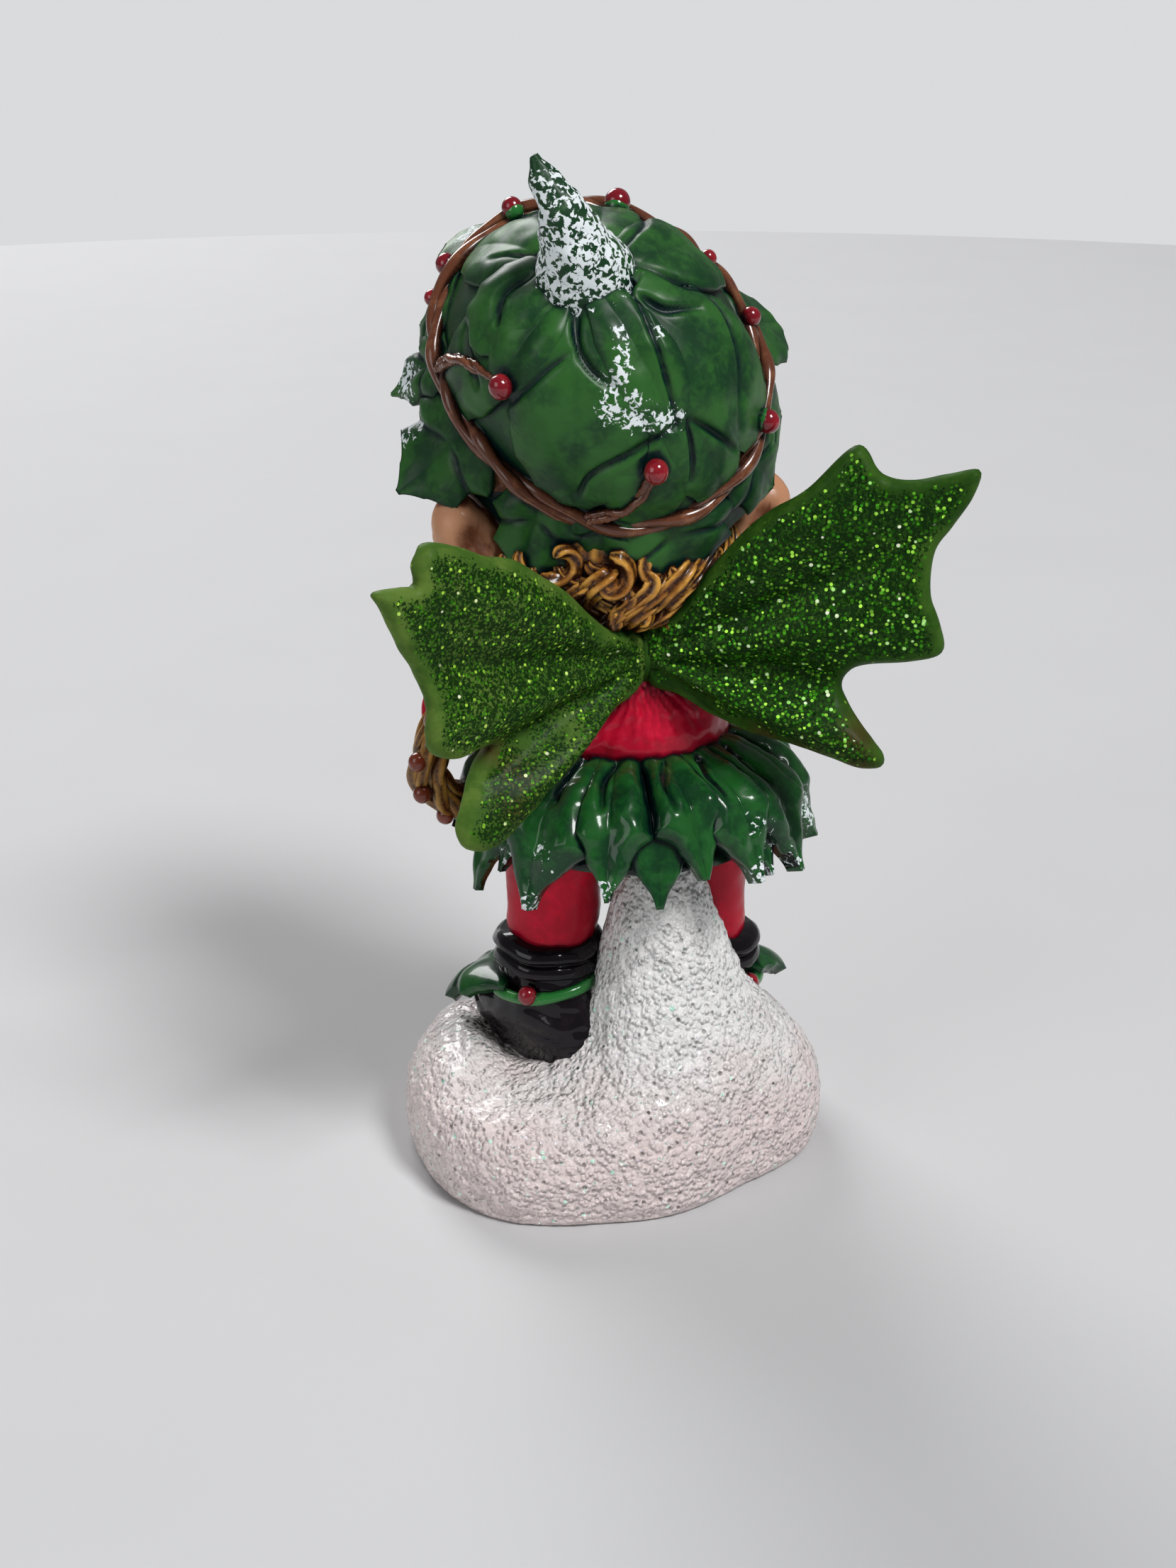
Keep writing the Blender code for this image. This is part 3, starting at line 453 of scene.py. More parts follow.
class LeafShape(Enum):
    """Outlines of holly leaves: share of the length, share of the widest half."""

    LONG = ((0, 0.4), (0.17, 0.72), (0.36, 1), (0.52, 0.74), (0.7, 0.82), (0.86, 0.36), (1, 0.05))
    ROUND = ((0, 0.5), (0.25, 0.82), (0.5, 1), (0.75, 0.93), (0.92, 0.66), (1, 0.26))
    SHORT = ((0, 0.5), (0.3, 0.66), (0.62, 1), (0.8, 0.5), (1, 0.08))

    def width(self, share: Array) -> Array:
        """Half width at a share of the length, hollow between the points of the margin.

        Args:
            share: Places along the leaf, from 0 to 1.

        Returns:
            Shares of the widest half.
        """
        knots = np.array(self.value)
        span = np.clip(np.searchsorted(knots[:, 0], share, side="right") - 1, 0, len(knots) - 2)
        low, high = knots[span], knots[span + 1]
        part = (share - low[:, 0]) / (high[:, 0] - low[:, 0])
        rising = high[:, 1] > low[:, 1]
        climb = np.where(rising, part, 1 - part) ** 1.35
        bottom = np.minimum(low[:, 1], high[:, 1])
        return bottom + np.abs(high[:, 1] - low[:, 1]) * climb

    def valleys(self) -> list[float]:
        """Shares of the length at which the margin is drawn in."""
        knots = self.value
        return [b[0] for a, b, c in zip(knots, knots[1:], knots[2:]) if b[1] < a[1] and b[1] <= c[1]]


def flat_place(degrees: float, reach: float) -> Array:
    """A place on a flat sheet, from an angle and a reach."""
    angle = math.radians(degrees)
    return vec((reach * math.cos(angle), reach * math.sin(angle)))


@dataclass(frozen=True)
class Crease:
    """A groove along a smooth line on a flat sheet, whose knots are an angle and a reach."""

    knots: tuple[Place, ...]
    width: float
    depth: float

    def press(self, flat: Array) -> Array:
        """How far the groove reaches at flat places: 1 on its line and 0 far from it.

        Args:
            flat: The places.

        Returns:
            One value for each place.
        """
        line = along_curve([flat_place(*knot) for knot in self.knots], 60)
        gaps = lengths(flat[..., None, :] - line)
        fade = np.sqrt(np.sin(np.linspace(0.2, math.pi - 0.2, 60)))
        return (bell(gaps, self.width) * fade).max(axis=-1)


@dataclass(frozen=True)
class Leaf:
    """A puffed holly leaf laid over a turned form, from a root to a tip.

    root and tip are an angle in degrees and a reach on the form's flat sheet.
    belly is the rise of its halves, cleft is the share of it by which the midrib
    lies lower, sink is how far its underside goes into the form, and curl lifts
    its tip.
    """

    root: Place
    tip: Place
    half_width: float
    thickness: float
    belly: float = 1.2
    sink: float = 0.8
    curl: float = 0.0
    cleft: float = 0.65
    shape: LeafShape = LeafShape.LONG
    rows: int = 40
    columns: int = 33
    creases: tuple[Crease, ...] = ()

    def shell(self, form: Turned) -> Shell:
        """The leaf's skin over the form, with its fold and crest masks.

        Args:
            form: The form that carries it.

        Returns:
            The closed form of the leaf.
        """
        ends = [flat_place(*self.root), flat_place(*self.tip)]
        along = ends[1] - ends[0]
        across = unit((-along[1], along[0])) * self.half_width
        share = np.linspace(0, 1, self.rows)
        width = self.shape.width(share)[:, None]
        top = np.linspace(-1, 1, self.columns)
        under = np.linspace(0.9, -0.9, self.columns // 3)
        side = np.concatenate([top, under])[None, :]
        share = share[:, None]
        soft = np.convolve(np.pad(width[:, 0], 5, mode="edge"), np.full(11, 1 / 11), mode="valid")
        puff = self.belly * np.sin(np.pi * np.minimum(0.15 + 0.8 * share, 1)) * soft[:, None]
        vein = self._veins(share, side)
        rise = self._section(side) - 0.4 * vein
        lift = self.curl * share**2 + self.thickness * 0.5 + puff * rise
        upper = np.concatenate([np.ones(len(top)), np.zeros(len(under))])[None, :]
        lower = self.curl * share**2 - self.sink * (1.6 - 0.9 * share)
        flat = ends[0] + along * share[..., None] + across * (width * side)[..., None]
        fold = np.maximum(vein, bell(side, 0.09) * self.cleft * 0.5)
        for crease in self.creases:
            press = crease.press(flat)
            lift = lift - crease.depth * press
            fold = np.maximum(fold, press)
        lift = np.where(upper > 0.5, lift, lower)
        # fold darkens the veins, midrib and creases with the dark wash and painted shade; crest lightens the
        # puffed halves as painted highlight and dry-brushing.
        masks = {"fold": fold * upper, "crest": clamp(rise - 0.5 * fold) * upper}
        masks = {name: np.broadcast_to(mask, lift.shape) for name, mask in masks.items()}
        return loft(form.place(flat[..., 0], flat[..., 1], lift), False, masks)

    def _section(self, side: Array) -> Array:
        """Height across the leaf: full beside the midrib, lower on it and at the margins.

        Args:
            side: Places across, from -1 to 1.

        Returns:
            Shares of the belly.
        """
        out = np.abs(side)
        margin = clamp(2 * out - 1) ** 2.2
        valley = clamp(1 - 2 * out) ** 1.5
        return 1 - 0.8 * margin - self.cleft * valley

    def _veins(self, share: Array, side: Array) -> Array:
        """Grooves from the midrib out to where the margin is drawn in.

        Args:
            share: Places along the leaf, from 0 to 1.
            side: Places across, from -1 to 1.

        Returns:
            How far they reach, from 0 to 1.
        """
        groove = np.zeros(np.broadcast(share, side).shape)
        for valley in self.shape.valleys():
            line = valley - 0.15 * (1 - np.abs(side))
            groove = np.maximum(groove, bell(share - line, 0.03) * np.minimum(np.abs(side) * 4, 1))
        return groove


def maths(operation: str, reflected: bool = False) -> Callable[[Signal, Number], Signal]:
    """An operator of the class below.

    Args:
        operation: The Math node's operation.
        reflected: Whether the other number comes first.

    Returns:
        The method.
    """

    def method(self: Signal, other: Number) -> Signal:
        """The result of one Math node on this and the other number."""
        left, right = (other, self) if reflected else (self, other)
        return self.graph.signal("ShaderNodeMath", {"operation": operation}, {0: left, 1: right})

    return method


class Signal:
    """A number that changes over a surface; Python's operators on it add Math nodes."""

    def __init__(self, graph: Graph, socket: Socket) -> None:
        """Wrap an output socket of a graph."""
        self.graph = graph
        self.socket = socket

    def between(self, low: Number, high: Number) -> Signal:
        """0 at low and 1 at high, with a smooth step and no more outside."""
        inputs = {"Value": self, "From Min": low, "From Max": high}
        return self.graph.signal("ShaderNodeMapRange", {"interpolation_type": "SMOOTHSTEP"}, inputs)

    __add__, __radd__ = maths("ADD"), maths("ADD", True)
    __sub__, __rsub__ = maths("SUBTRACT"), maths("SUBTRACT", True)
    __mul__, __rmul__ = maths("MULTIPLY"), maths("MULTIPLY", True)
    __pow__, larger = maths("POWER"), maths("MAXIMUM")


Number = Union[float, Signal]
Feed = Union[float, Sequence[float], Signal, Socket]
Settings = Union[dict[str, object], None]
Inputs = Union[dict[Union[str, int], Feed], None]


class Graph:
    """The nodes of one painted finish, with its colour and its normal so far."""

    colour: Feed
    normal: Socket

    def __init__(self, name: str) -> None:
        """Start a material with its shader.

        Args:
            name: The material's name.
        """
        self.material = bpy.data.materials.new(name)
        self.material.use_nodes = True
        self.tree = self.material.node_tree
        self.shader = self.tree.nodes["Principled BSDF"]
        self.object_place = self.add("ShaderNodeTexCoord").outputs["Object"]

    def add(self, kind: str, settings: Settings = None, inputs: Inputs = None) -> bpy.types.Node:
        """Add any node.

        Args:
            kind: The node's type.
            settings: Its own settings, set first.
            inputs: Values or links of its sockets, by name or number.

        Returns:
            The node.
        """
        node = self.tree.nodes.new(kind)
        for name, value in (settings or {}).items():
            setattr(node, name, value)
        for key, value in (inputs or {}).items():
            self.feed(node.inputs[key], value)
        return node

    def feed(self, socket: Socket, value: Feed) -> None:
        """Link or set one input socket.

        Args:
            socket: The socket.
            value: A number, a colour, a vector or an output to link.
        """
        if isinstance(value, Signal):
            self.tree.links.new(value.socket, socket)
        elif isinstance(value, Socket):
            self.tree.links.new(value, socket)
        elif socket.type == "RGBA":
            socket.default_value = (*value, 1)
        else:
            socket.default_value = value

    def signal(self, kind: str, settings: Settings = None, inputs: Inputs = None) -> Signal:
        """The first output of a new node."""
        return Signal(self, self.add(kind, settings, inputs).outputs[0])

    def mask(self, name: str) -> Signal:
        """A painted mask of the piece."""
        return Signal(self, self.add("ShaderNodeAttribute", {"attribute_name": name}).outputs["Fac"])

    def spaced(self, size: float) -> Inputs:
        """The inputs of a texture whose patches are about a size in millimetres."""
        return {"Vector": self.object_place, "Scale": 1 / (size * MM)}

    def cloud(self, size: float, detail: float = 3.0, distortion: float = 0.0) -> Signal:
        """Soft noise, about 0.5 on average, with finer layers on patches of a size."""
        inputs = {**self.spaced(size), "Detail": detail, "Distortion": distortion}
        return self.signal("ShaderNodeTexNoise", None, inputs)

    def cells(self, size: float) -> tuple[Signal, Socket]:
        """Cells of a size: distance from a cell's middle, and its own random colour."""
        node = self.add("ShaderNodeTexVoronoi", None, self.spaced(size))
        return Signal(self, node.outputs["Distance"]), node.outputs["Color"]

    def parts(self, colour: Socket) -> list[Signal]:
        """The three channels of a colour."""
        node = self.add("ShaderNodeSeparateColor", None, {"Color": colour})
        return [Signal(self, socket) for socket in node.outputs]

    def mix(self, first: Feed, second: Feed, factor: Number) -> Socket:
        """A colour between two colours."""
        inputs = {"Factor": factor, 6: first, 7: second}
        return self.add("ShaderNodeMix", {"data_type": "RGBA"}, inputs).outputs[2]

    def bump(self, height: Signal, depth: float) -> Socket:
        """A normal from a height between 0 and 1 that stands for a depth in millimetres."""
        return self.add("ShaderNodeBump", None, {"Height": height, "Distance": depth * MM}).outputs[0]

    def vector(self, operation: str, inputs: Inputs) -> Socket:
        """The result of one Vector Math node."""
        return self.add("ShaderNodeVectorMath", {"operation": operation}, inputs).outputs[0]

    def tilt(self, lean: Socket, amount: Signal) -> None:
        """Lean the normal by a random colour, as flat flakes lie at random."""
        way = self.vector("SCALE", {0: self.vector("SUBTRACT", {0: lean, 1: MID_GREY}), "Scale": amount})
        self.normal = self.vector("NORMALIZE", {0: self.vector("ADD", {0: self.normal, 1: way})})

    def paint(self, colour: Feed, factor: Number) -> None:
        """Lay a colour over the colour so far."""
        self.colour = self.mix(self.colour, colour, factor)


@dataclass(frozen=True)
class Paint:
    """Brushed paint under varnish: it drifts in colour, crests are lighter, partly as painted highlight, and
    a dark wash that also paints shade lies in the creases and where parts stand close.
    """

    name: str
    slot: Slot
    colour: Colour
    light: Colour
    wash_and_shade: Colour
    roughness: float = 0.32
    coat: float = 0.3
    coat_roughness: float = 0.14
    drift: float = 4.0
    wash_and_shade_strength: float = 1.0
    grain: float = 0.8
    grain_depth: float = 0.03
    specular: float = 0.12

    def material(self) -> bpy.types.Material:
        """Build the finish.

        Returns:
            The material.
        """
        graph = Graph(self.name)
        inputs = graph.shader.inputs
        self.brush(graph)
        graph.feed(inputs["Roughness"], self.sheen(graph))
        inputs["Coat Weight"].default_value = self.coat
        inputs["Coat Roughness"].default_value = self.coat_roughness
        inputs["Specular IOR Level"].default_value = self.specular
        graph.normal = graph.bump(self.relief(graph), self.grain_depth)
        self.topping(graph)
        graph.feed(inputs["Base Color"], graph.colour)
        graph.feed(inputs["Normal"], graph.normal)
        return graph.material

    def brush(self, graph: Graph) -> None:
        """Paint the colour with its lighter strokes and crests and its dark wash, which also paints shade.

        Args:
            graph: The finish's nodes.
        """
        drift = graph.cloud(self.drift).between(0.36, 0.68)
        strokes = graph.cloud(self.drift / 5, 5, 0.8).between(0.4, 0.7)
        crest = graph.mask("crest")
        graph.colour = self.colour
        # Lighter in random drifts and strokes, and on crests: painted highlight on raised parts, lighter rim
        # paint on a wing.
        graph.paint(self.light, (drift * 0.6 + strokes * 0.25 + crest * 0.4).between(0.25, 1.05))
        # Dark wash in creases and where another surface stands close: it also paints the shade that falls
        # there.
        pooled_wash_and_shade = graph.mask("wash_and_shade").larger(graph.mask("fold") * 0.75) * (0.75 + strokes * 0.5)
        graph.paint(self.wash_and_shade, (pooled_wash_and_shade * self.wash_and_shade_strength).between(0.08, 0.95))

    def sheen(self, graph: Graph) -> Signal:
        """Roughness, a little uneven as brushed varnish is."""
        return graph.cloud(self.drift * 0.7) * 0.16 + (self.roughness - 0.08)

    def relief(self, graph: Graph) -> Signal:
        """Fine height of the surface."""
        return graph.cloud(self.grain, 4) * 0.7 + graph.cloud(self.grain * 4, 2) * 0.9

    def topping(self, graph: Graph) -> None:
        """Lay on what the paint carries: nothing here."""


@dataclass(frozen=True)
class SpeckledPaint(Paint):
    """Paint with white specks dabbed on where the snow mask is high."""

    speck: float = 0.75
    white: Colour = (0.8, 0.86, 0.88)

    def topping(self, graph: Graph) -> None:
        """Dab on the specks, a little rougher than the paint.

        Args:
            graph: The finish's nodes.
        """
        inputs = graph.shader.inputs
        snow = graph.mask("snow")
        edge = 0.79 - snow * 0.33
        speck = graph.cloud(self.speck, 4, 0.6).between(edge, edge + 0.05) * snow.between(0.02, 0.1)
        sheen = Signal(graph, inputs["Roughness"].links[0].from_socket)
        graph.feed(inputs["Roughness"], sheen + speck * 0.35)
        graph.feed(inputs["Coat Weight"], (1 - speck) * self.coat)
        graph.paint(self.white, speck)


@dataclass(frozen=True)
class Flakes:
    """A scatter of flat glitter flakes: size, share of the surface, colours, lean and reach."""

    size: float
    share: float
    dark: Colour
    bright: Colour
    lean: float
    metallic: float
    reach: float


@dataclass(frozen=True)
class GlitterPaint(Paint):
    """Paint under glitter: flat flakes at random angles, thickest where the gilt mask is high; the palest
    flakes on the wings are painted glints.
    """

    layers: tuple[Flakes, ...] = ()
    fleck: Colour | None = None
    tip: Colour | None = None

    def topping(self, graph: Graph) -> None:
        """Scatter the flakes over the paint.

        Args:
            graph: The finish's nodes.
        """
        if self.tip is not None:
            graph.paint(self.tip, graph.mask("tip") * 0.8)
        gilt = graph.mask("gilt") * (0.75 + graph.cloud(2.6) * 0.6)
        if self.fleck is not None:
            edge = 0.64 - gilt * 0.2
            dark = graph.cloud(0.42, 2, 0.7).between(edge, edge + 0.05) * gilt.between(0.05, 0.3)
            graph.paint(self.fleck, dark * 0.92)
        metal: Number = 0.0
        for flakes in self.layers:
            distance, random = graph.cells(flakes.size)
            first, second, _ = graph.parts(random)
            share = gilt * flakes.share
            chosen = 1 - first.between(share - 0.02, share + 0.02)
            flake = chosen * (1 - distance.between(flakes.reach, flakes.reach + 0.1))
            graph.paint(graph.mix(flakes.dark, flakes.bright, second**1.6), flake)
            graph.tilt(random, flake * flakes.lean)
            metal = (flake * flakes.metallic).larger(metal)
        graph.feed(graph.shader.inputs["Metallic"], metal)


@dataclass(frozen=True)
class SnowPaint(GlitterPaint):
    """Pearl white over a crust of fine pores, with sparse glitter, pinker and darker low down as tint,
    painted shade and reflected red light, and painted shade in its hollows and pits.
    """

    pore: Colour = (0.13, 0.11, 0.1)
    grit: float = 1.35
    fine_grit: float = 0.85

    def brush(self, graph: Graph) -> None:
        """Paint white with a pink tint low down, which also paints shade and reflected red light, painted
        shade in the hollows and creases, and dark pores as painted shade in pits.

        Args:
            graph: The finish's nodes.
        """
        # Pinker and darker low down: the snow's tint, with painted shade and painted red light reflected
        # from below.
        low = 1 - graph.parts(graph.object_place)[2].between(0.004, 0.03)
        graph.colour = self.colour
        graph.paint(self.light, (low * 0.7 + graph.cloud(9) * 0.7).between(0.35, 1))
        shade = graph.mask("wash_and_shade").larger(graph.mask("fold") * 0.6)
        graph.paint(self.wash_and_shade, (shade * self.wash_and_shade_strength).between(0.15, 1))
        # Dark spots in some of the crust's pits, fewer on its ridges: painted shade.
        distance, random = graph.cells(self.grit)
        pores = (1 - distance.between(0.13, 0.22)) * graph.parts(random)[0].between(0.44, 0.5)
        graph.paint(self.pore, pores * (1 - graph.mask("crest") * 0.6) * 0.9)

    def relief(self, graph: Graph) -> Signal:
        """A crust of small round-edged grains with pits between them.

        Args:
            graph: The finish's nodes.

        Returns:
            The height.
        """
        coarse, _ = graph.cells(self.grit)
        grains, _ = graph.cells(self.fine_grit)
        crust = coarse.between(0.06, 0.3) * 0.4 + (1 - grains.between(0.05, 0.7)) * 0.45
        return crust + graph.cloud(1) * 0.7 + graph.cloud(3.6, 2) * 1.4


@dataclass(frozen=True)
class EyePaint(Paint):
    """A painted doll's eye: white, an iris with a dark rim, a pupil and a spot of light."""

    iris: Colour = (0.13, 0.06, 0.02)

    def topping(self, graph: Graph) -> None:
        """Paint the rings of the eye, from a mask of the distance to its middle.

        Args:
            graph: The finish's nodes.
        """
        reach = graph.mask("gaze")
        rings = (((0.02, 0.01, 0.006), 1.55), (self.iris, 1.3), ((0.004, 0.003, 0.003), 0.7))
        for colour, radius in rings:
            graph.paint(colour, 1 - reach.between(radius, radius + 0.1))
        graph.paint((0.9, 0.9, 0.9), 1 - graph.mask("glint").between(0.28, 0.36))


@dataclass(frozen=True)
class SkinPaint(Paint):
    """Flesh paint with a blush on the cheeks and the nose."""

    rose: Colour = (0.62, 0.16, 0.11)

    def topping(self, graph: Graph) -> None:
        """Add the blush over the flesh."""
        graph.paint(self.rose, graph.mask("blush") * 0.6)


# Each paint's third colour is its dark wash, which also paints the shade in creases and between parts.
HAT_GREEN = SpeckledPaint(
    "hat_green_satin", Slot.HOLLY, (0.006, 0.042, 0.013), (0.027, 0.12, 0.021), (0.001, 0.013, 0.013),
    roughness=0.42, coat=0.1, coat_roughness=0.26, drift=6, wash_and_shade_strength=1.3, specular=0.2,
)
LEAF_GREEN = SpeckledPaint(
    "leaf_green_gloss", Slot.HOLLY, (0.004, 0.038, 0.012), (0.013, 0.1, 0.018), (0.001, 0.008, 0.008),
    roughness=0.3, coat=0.5, coat_roughness=0.1, drift=5, wash_and_shade_strength=1.3, grain_depth=0.08, grain=1.1,
)
LEFT_GLITTER = GlitterPaint(
    "wing_green_glitter", Slot.WING, (0.045, 0.11, 0.014), (0.11, 0.19, 0.032), (0.006, 0.026, 0.003),
    roughness=0.56, coat=0.03, coat_roughness=0.22, drift=7, grain_depth=0.05,
    fleck=(0.004, 0.022, 0.002), tip=(0.055, 0.035, 0.01), specular=0.06,
    # The last layer's near-white flakes are painted glints; the other layers hold the glitter's own greens.
    layers=(
        Flakes(0.45, 0.4, (0.006, 0.04, 0.003), (0.1, 0.36, 0.015), lean=0.9, metallic=0.5, reach=0.38),
        Flakes(0.58, 0.2, (0.03, 0.2, 0.006), (0.6, 1, 0.1), lean=1, metallic=0.3, reach=0.32),
        Flakes(1.1, 0.06, (0.6, 0.9, 0.15), (1, 1, 0.75), lean=0.3, metallic=0, reach=0.17),
    ),
)
# A darker copy of the wing paint for the right wing and the wings' joint: its darker colours are painted
# shade, and its glitter lies thicker.
SHADED_RIGHT_GLITTER = replace(
    LEFT_GLITTER, name="wing_green_glitter_shaded", colour=(0.018, 0.062, 0.006), light=(0.045, 0.115, 0.013),
    # The last layer's near-white flakes are painted glints; the other layers hold the glitter's own greens.
    layers=(
        Flakes(0.5, 0.55, (0.003, 0.025, 0.002), (0.06, 0.3, 0.01), lean=0.9, metallic=0.5, reach=0.4),
        Flakes(0.6, 0.3, (0.02, 0.2, 0.006), (0.5, 1, 0.1), lean=1, metallic=0.3, reach=0.34),
        Flakes(1, 0.16, (0.4, 0.9, 0.2), (1, 1, 0.8), lean=0.3, metallic=0, reach=0.2),
    ),
)
# The second colour, pinker and darker, is laid low down as tint, painted shade and reflected red light; the
# third is painted shade.
SNOW_WHITE = SnowPaint(
    "snow_pearl_crust", Slot.SNOW, (0.88, 0.87, 0.86), (0.8, 0.68, 0.66), (0.42, 0.36, 0.35),
    roughness=0.3, coat=0.7, coat_roughness=0.1, grain_depth=0.85, specular=0.5, wash_and_shade_strength=0.4,
    layers=(
        Flakes(0.6, 0.08, (0.75, 0.95, 0.85), (1, 0.88, 1), lean=1, metallic=0.2, reach=0.32),
        Flakes(1.3, 0.07, (0.55, 1, 0.8), (1, 1, 0.9), lean=0.4, metallic=0, reach=0.2),
    ),
)
LEGGING_RED = Paint(
    "legging_red_gloss", Slot.RED, (0.48, 0, 0.02), (0.74, 0, 0.03), (0.1, 0, 0.006),
    roughness=0.36, coat=0.3, coat_roughness=0.08, drift=6, specular=0.06,
)
JACKET_RED = Paint(
    "jacket_red_gloss", Slot.RED, (0.46, 0.004, 0.025), (0.68, 0.01, 0.045), (0.13, 0.001, 0.012),
    roughness=0.3, coat=0.35, drift=6, specular=0.1,
)
BOOT_BLACK = Paint(
    "boot_black_gloss", Slot.BLACK, (0.006, 0.004, 0.006), (0.014, 0.009, 0.012), (0.002, 0.001, 0.002),
    roughness=0.24, coat=0.5, coat_roughness=0.05, grain_depth=0.012, specular=0.06,
)
BAND_GREEN = Paint(
    "band_green_gloss", Slot.HOLLY, (0.02, 0.17, 0.03), (0.06, 0.27, 0.06), (0.004, 0.03, 0.01),
    roughness=0.22, coat=0.8,
)
FLESH = SkinPaint(
    "flesh_satin", Slot.FLESH, (0.56, 0.27, 0.15), (0.64, 0.34, 0.2), (0.2, 0.07, 0.035),
    roughness=0.42, coat=0.15, drift=8, grain_depth=0.012,
)
LIP_ROSE = Paint(
    "lip_rose_satin", Slot.FLESH, (0.42, 0.07, 0.06), (0.5, 0.11, 0.09), (0.12, 0.02, 0.02),
    roughness=0.3, coat=0.4, grain_depth=0.01,
)
HAIR_GOLD = Paint(
    "hair_golden_brown", Slot.HAIR, (0.3, 0.11, 0.016), (0.68, 0.34, 0.06), (0.035, 0.01, 0.004),
    roughness=0.34, coat=0.4, drift=3, wash_and_shade_strength=1.35,
)
TWIG_BROWN = Paint(
    "twig_brown_gloss", Slot.TWIG, (0.13, 0.04, 0.018), (0.26, 0.1, 0.045), (0.025, 0.008, 0.005),
    roughness=0.24, coat=0.8, drift=2,
)
VINE_BROWN = Paint(
    "vine_golden_brown", Slot.TWIG, (0.27, 0.125, 0.02), (0.45, 0.24, 0.05), (0.06, 0.02, 0.006),
    roughness=0.36, coat=0.4, drift=3, wash_and_shade_strength=1.2,
)
BERRY_RED = Paint(
    "berry_red_gloss", Slot.BERRY, (0.2, 0.005, 0.013), (0.36, 0.012, 0.022), (0.05, 0.003, 0.006),
    roughness=0.12, coat=1, grain_depth=0.008,
)
BERRY_BROWN = Paint(
    "berry_brown_gloss", Slot.BERRY, (0.17, 0.03, 0.012), (0.26, 0.05, 0.02), (0.05, 0.01, 0.005),
    roughness=0.2, coat=0.8, grain_depth=0.01,
)
EYE_WHITE = EyePaint(
    "eye_painted", Slot.FLESH, (0.78, 0.75, 0.7), (0.84, 0.81, 0.77), (0.3, 0.15, 0.1),
    roughness=0.1, coat=1, grain_depth=0.002,
)
LID_BROWN = Paint(
    "lid_line_brown", Slot.HAIR, (0.05, 0.018, 0.01), (0.08, 0.03, 0.015), (0.02, 0.008, 0.005),
    roughness=0.35, coat=0.2, grain_depth=0.01,
)


def link(name: str, data: bpy.types.ID) -> bpy.types.Object:
    """A new object in the scene.

    Args:
        name: Its name.
        data: Its mesh, lamp or camera.

    Returns:
        The object.
    """
    thing = bpy.data.objects.new(name, data)
    bpy.context.scene.collection.objects.link(thing)
    return thing


@dataclass
class Casting:
    """Turns forms into painted pieces on the figure's body, and paints a dark wash into them that also
    paints shade.

    The first field holds how far each pass looks for another surface, and the strength of the painted shade
    there.
    """

    wash_and_shade_reaches: tuple[Place, ...] = ((0.9, 0.75), (2.6, 0.45))
    materials: dict[str, bpy.types.Material] = field(default_factory=dict)
    pieces: list[bpy.types.Object] = field(default_factory=list)

    def add(self, name: str, shells: Sequence[Shell], paint: Paint) -> None:
        """Make one piece.

        Args:
            name: The piece's name.
            shells: The closed forms that it is made of.
            paint: Its finish.
        """
        shell = joined(shells)
        mesh = bpy.data.meshes.new(name)
        mesh.from_pydata((shell.points * MM).tolist(), [], shell.faces)
        for mask, values in shell.masks.items():
            self._store(mesh, mask, values)
        mesh.shade_smooth()
        if paint.name not in self.materials:
            self.materials[paint.name] = paint.material()
        mesh.materials.append(self.materials[paint.name])
        piece = link(name, mesh)
        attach(piece, BODY)
        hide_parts(NODE)
        self.pieces.append(piece)
        LOG.info("%s: %d points, %d faces, %s", name, len(shell.points), len(shell.faces), paint.name)

    def paint_wash_and_shade(self) -> None:
        """Give each piece a mask of dark wash and painted shade: high where another surface stands close in
        front, as in creases and between parts.
        """
        corners: list[tuple[float, ...]] = []
        faces: list[tuple[int, ...]] = []
        for piece in self.pieces:
            start = len(corners)
            corners.extend(tuple(point.co / MM) for point in piece.data.vertices)
            faces.extend(tuple(start + index for index in face.vertices) for face in piece.data.polygons)
        tree = BVHTree.FromPolygons(corners, faces)
        for piece in self.pieces:
            count = len(piece.data.vertices)
            places = np.zeros(count * 3)
            normals = np.zeros(count * 3)
            piece.data.vertices.foreach_get("co", places)
            piece.data.vertices.foreach_get("normal", normals)
            places = places.reshape(-1, 3) / MM
            normals = normals.reshape(-1, 3)
            wash_and_shade = np.zeros(count)
            # Darker where another surface stands close in front: painted shade, kept as the dark wash.
            for distance, weight in self.wash_and_shade_reaches:
                probes = (places + normals * distance).tolist()
                gaps = np.array([tree.find_nearest(probe)[3] for probe in probes])
                wash_and_shade += weight * clamp(1 - gaps / distance)
            self._store(piece.data, "wash_and_shade", wash_and_shade)

    @staticmethod
    def _store(mesh: bpy.types.Mesh, name: str, values: Array) -> None:
        """Write a mask on a mesh's points."""
        layer = mesh.attributes.new(name, "FLOAT", "POINT")
        layer.data.foreach_set("value", np.ascontiguousarray(values, dtype=np.float32))


def berry(spot: Array, radius: float) -> Shell:
    """A berry: a ball, a little longer than wide, with faint lumps."""
    form = ball(spot, (radius, radius, radius * 1.06))
    return form.lumpy(0.04 * radius, radius * 1.4, 2, 3)


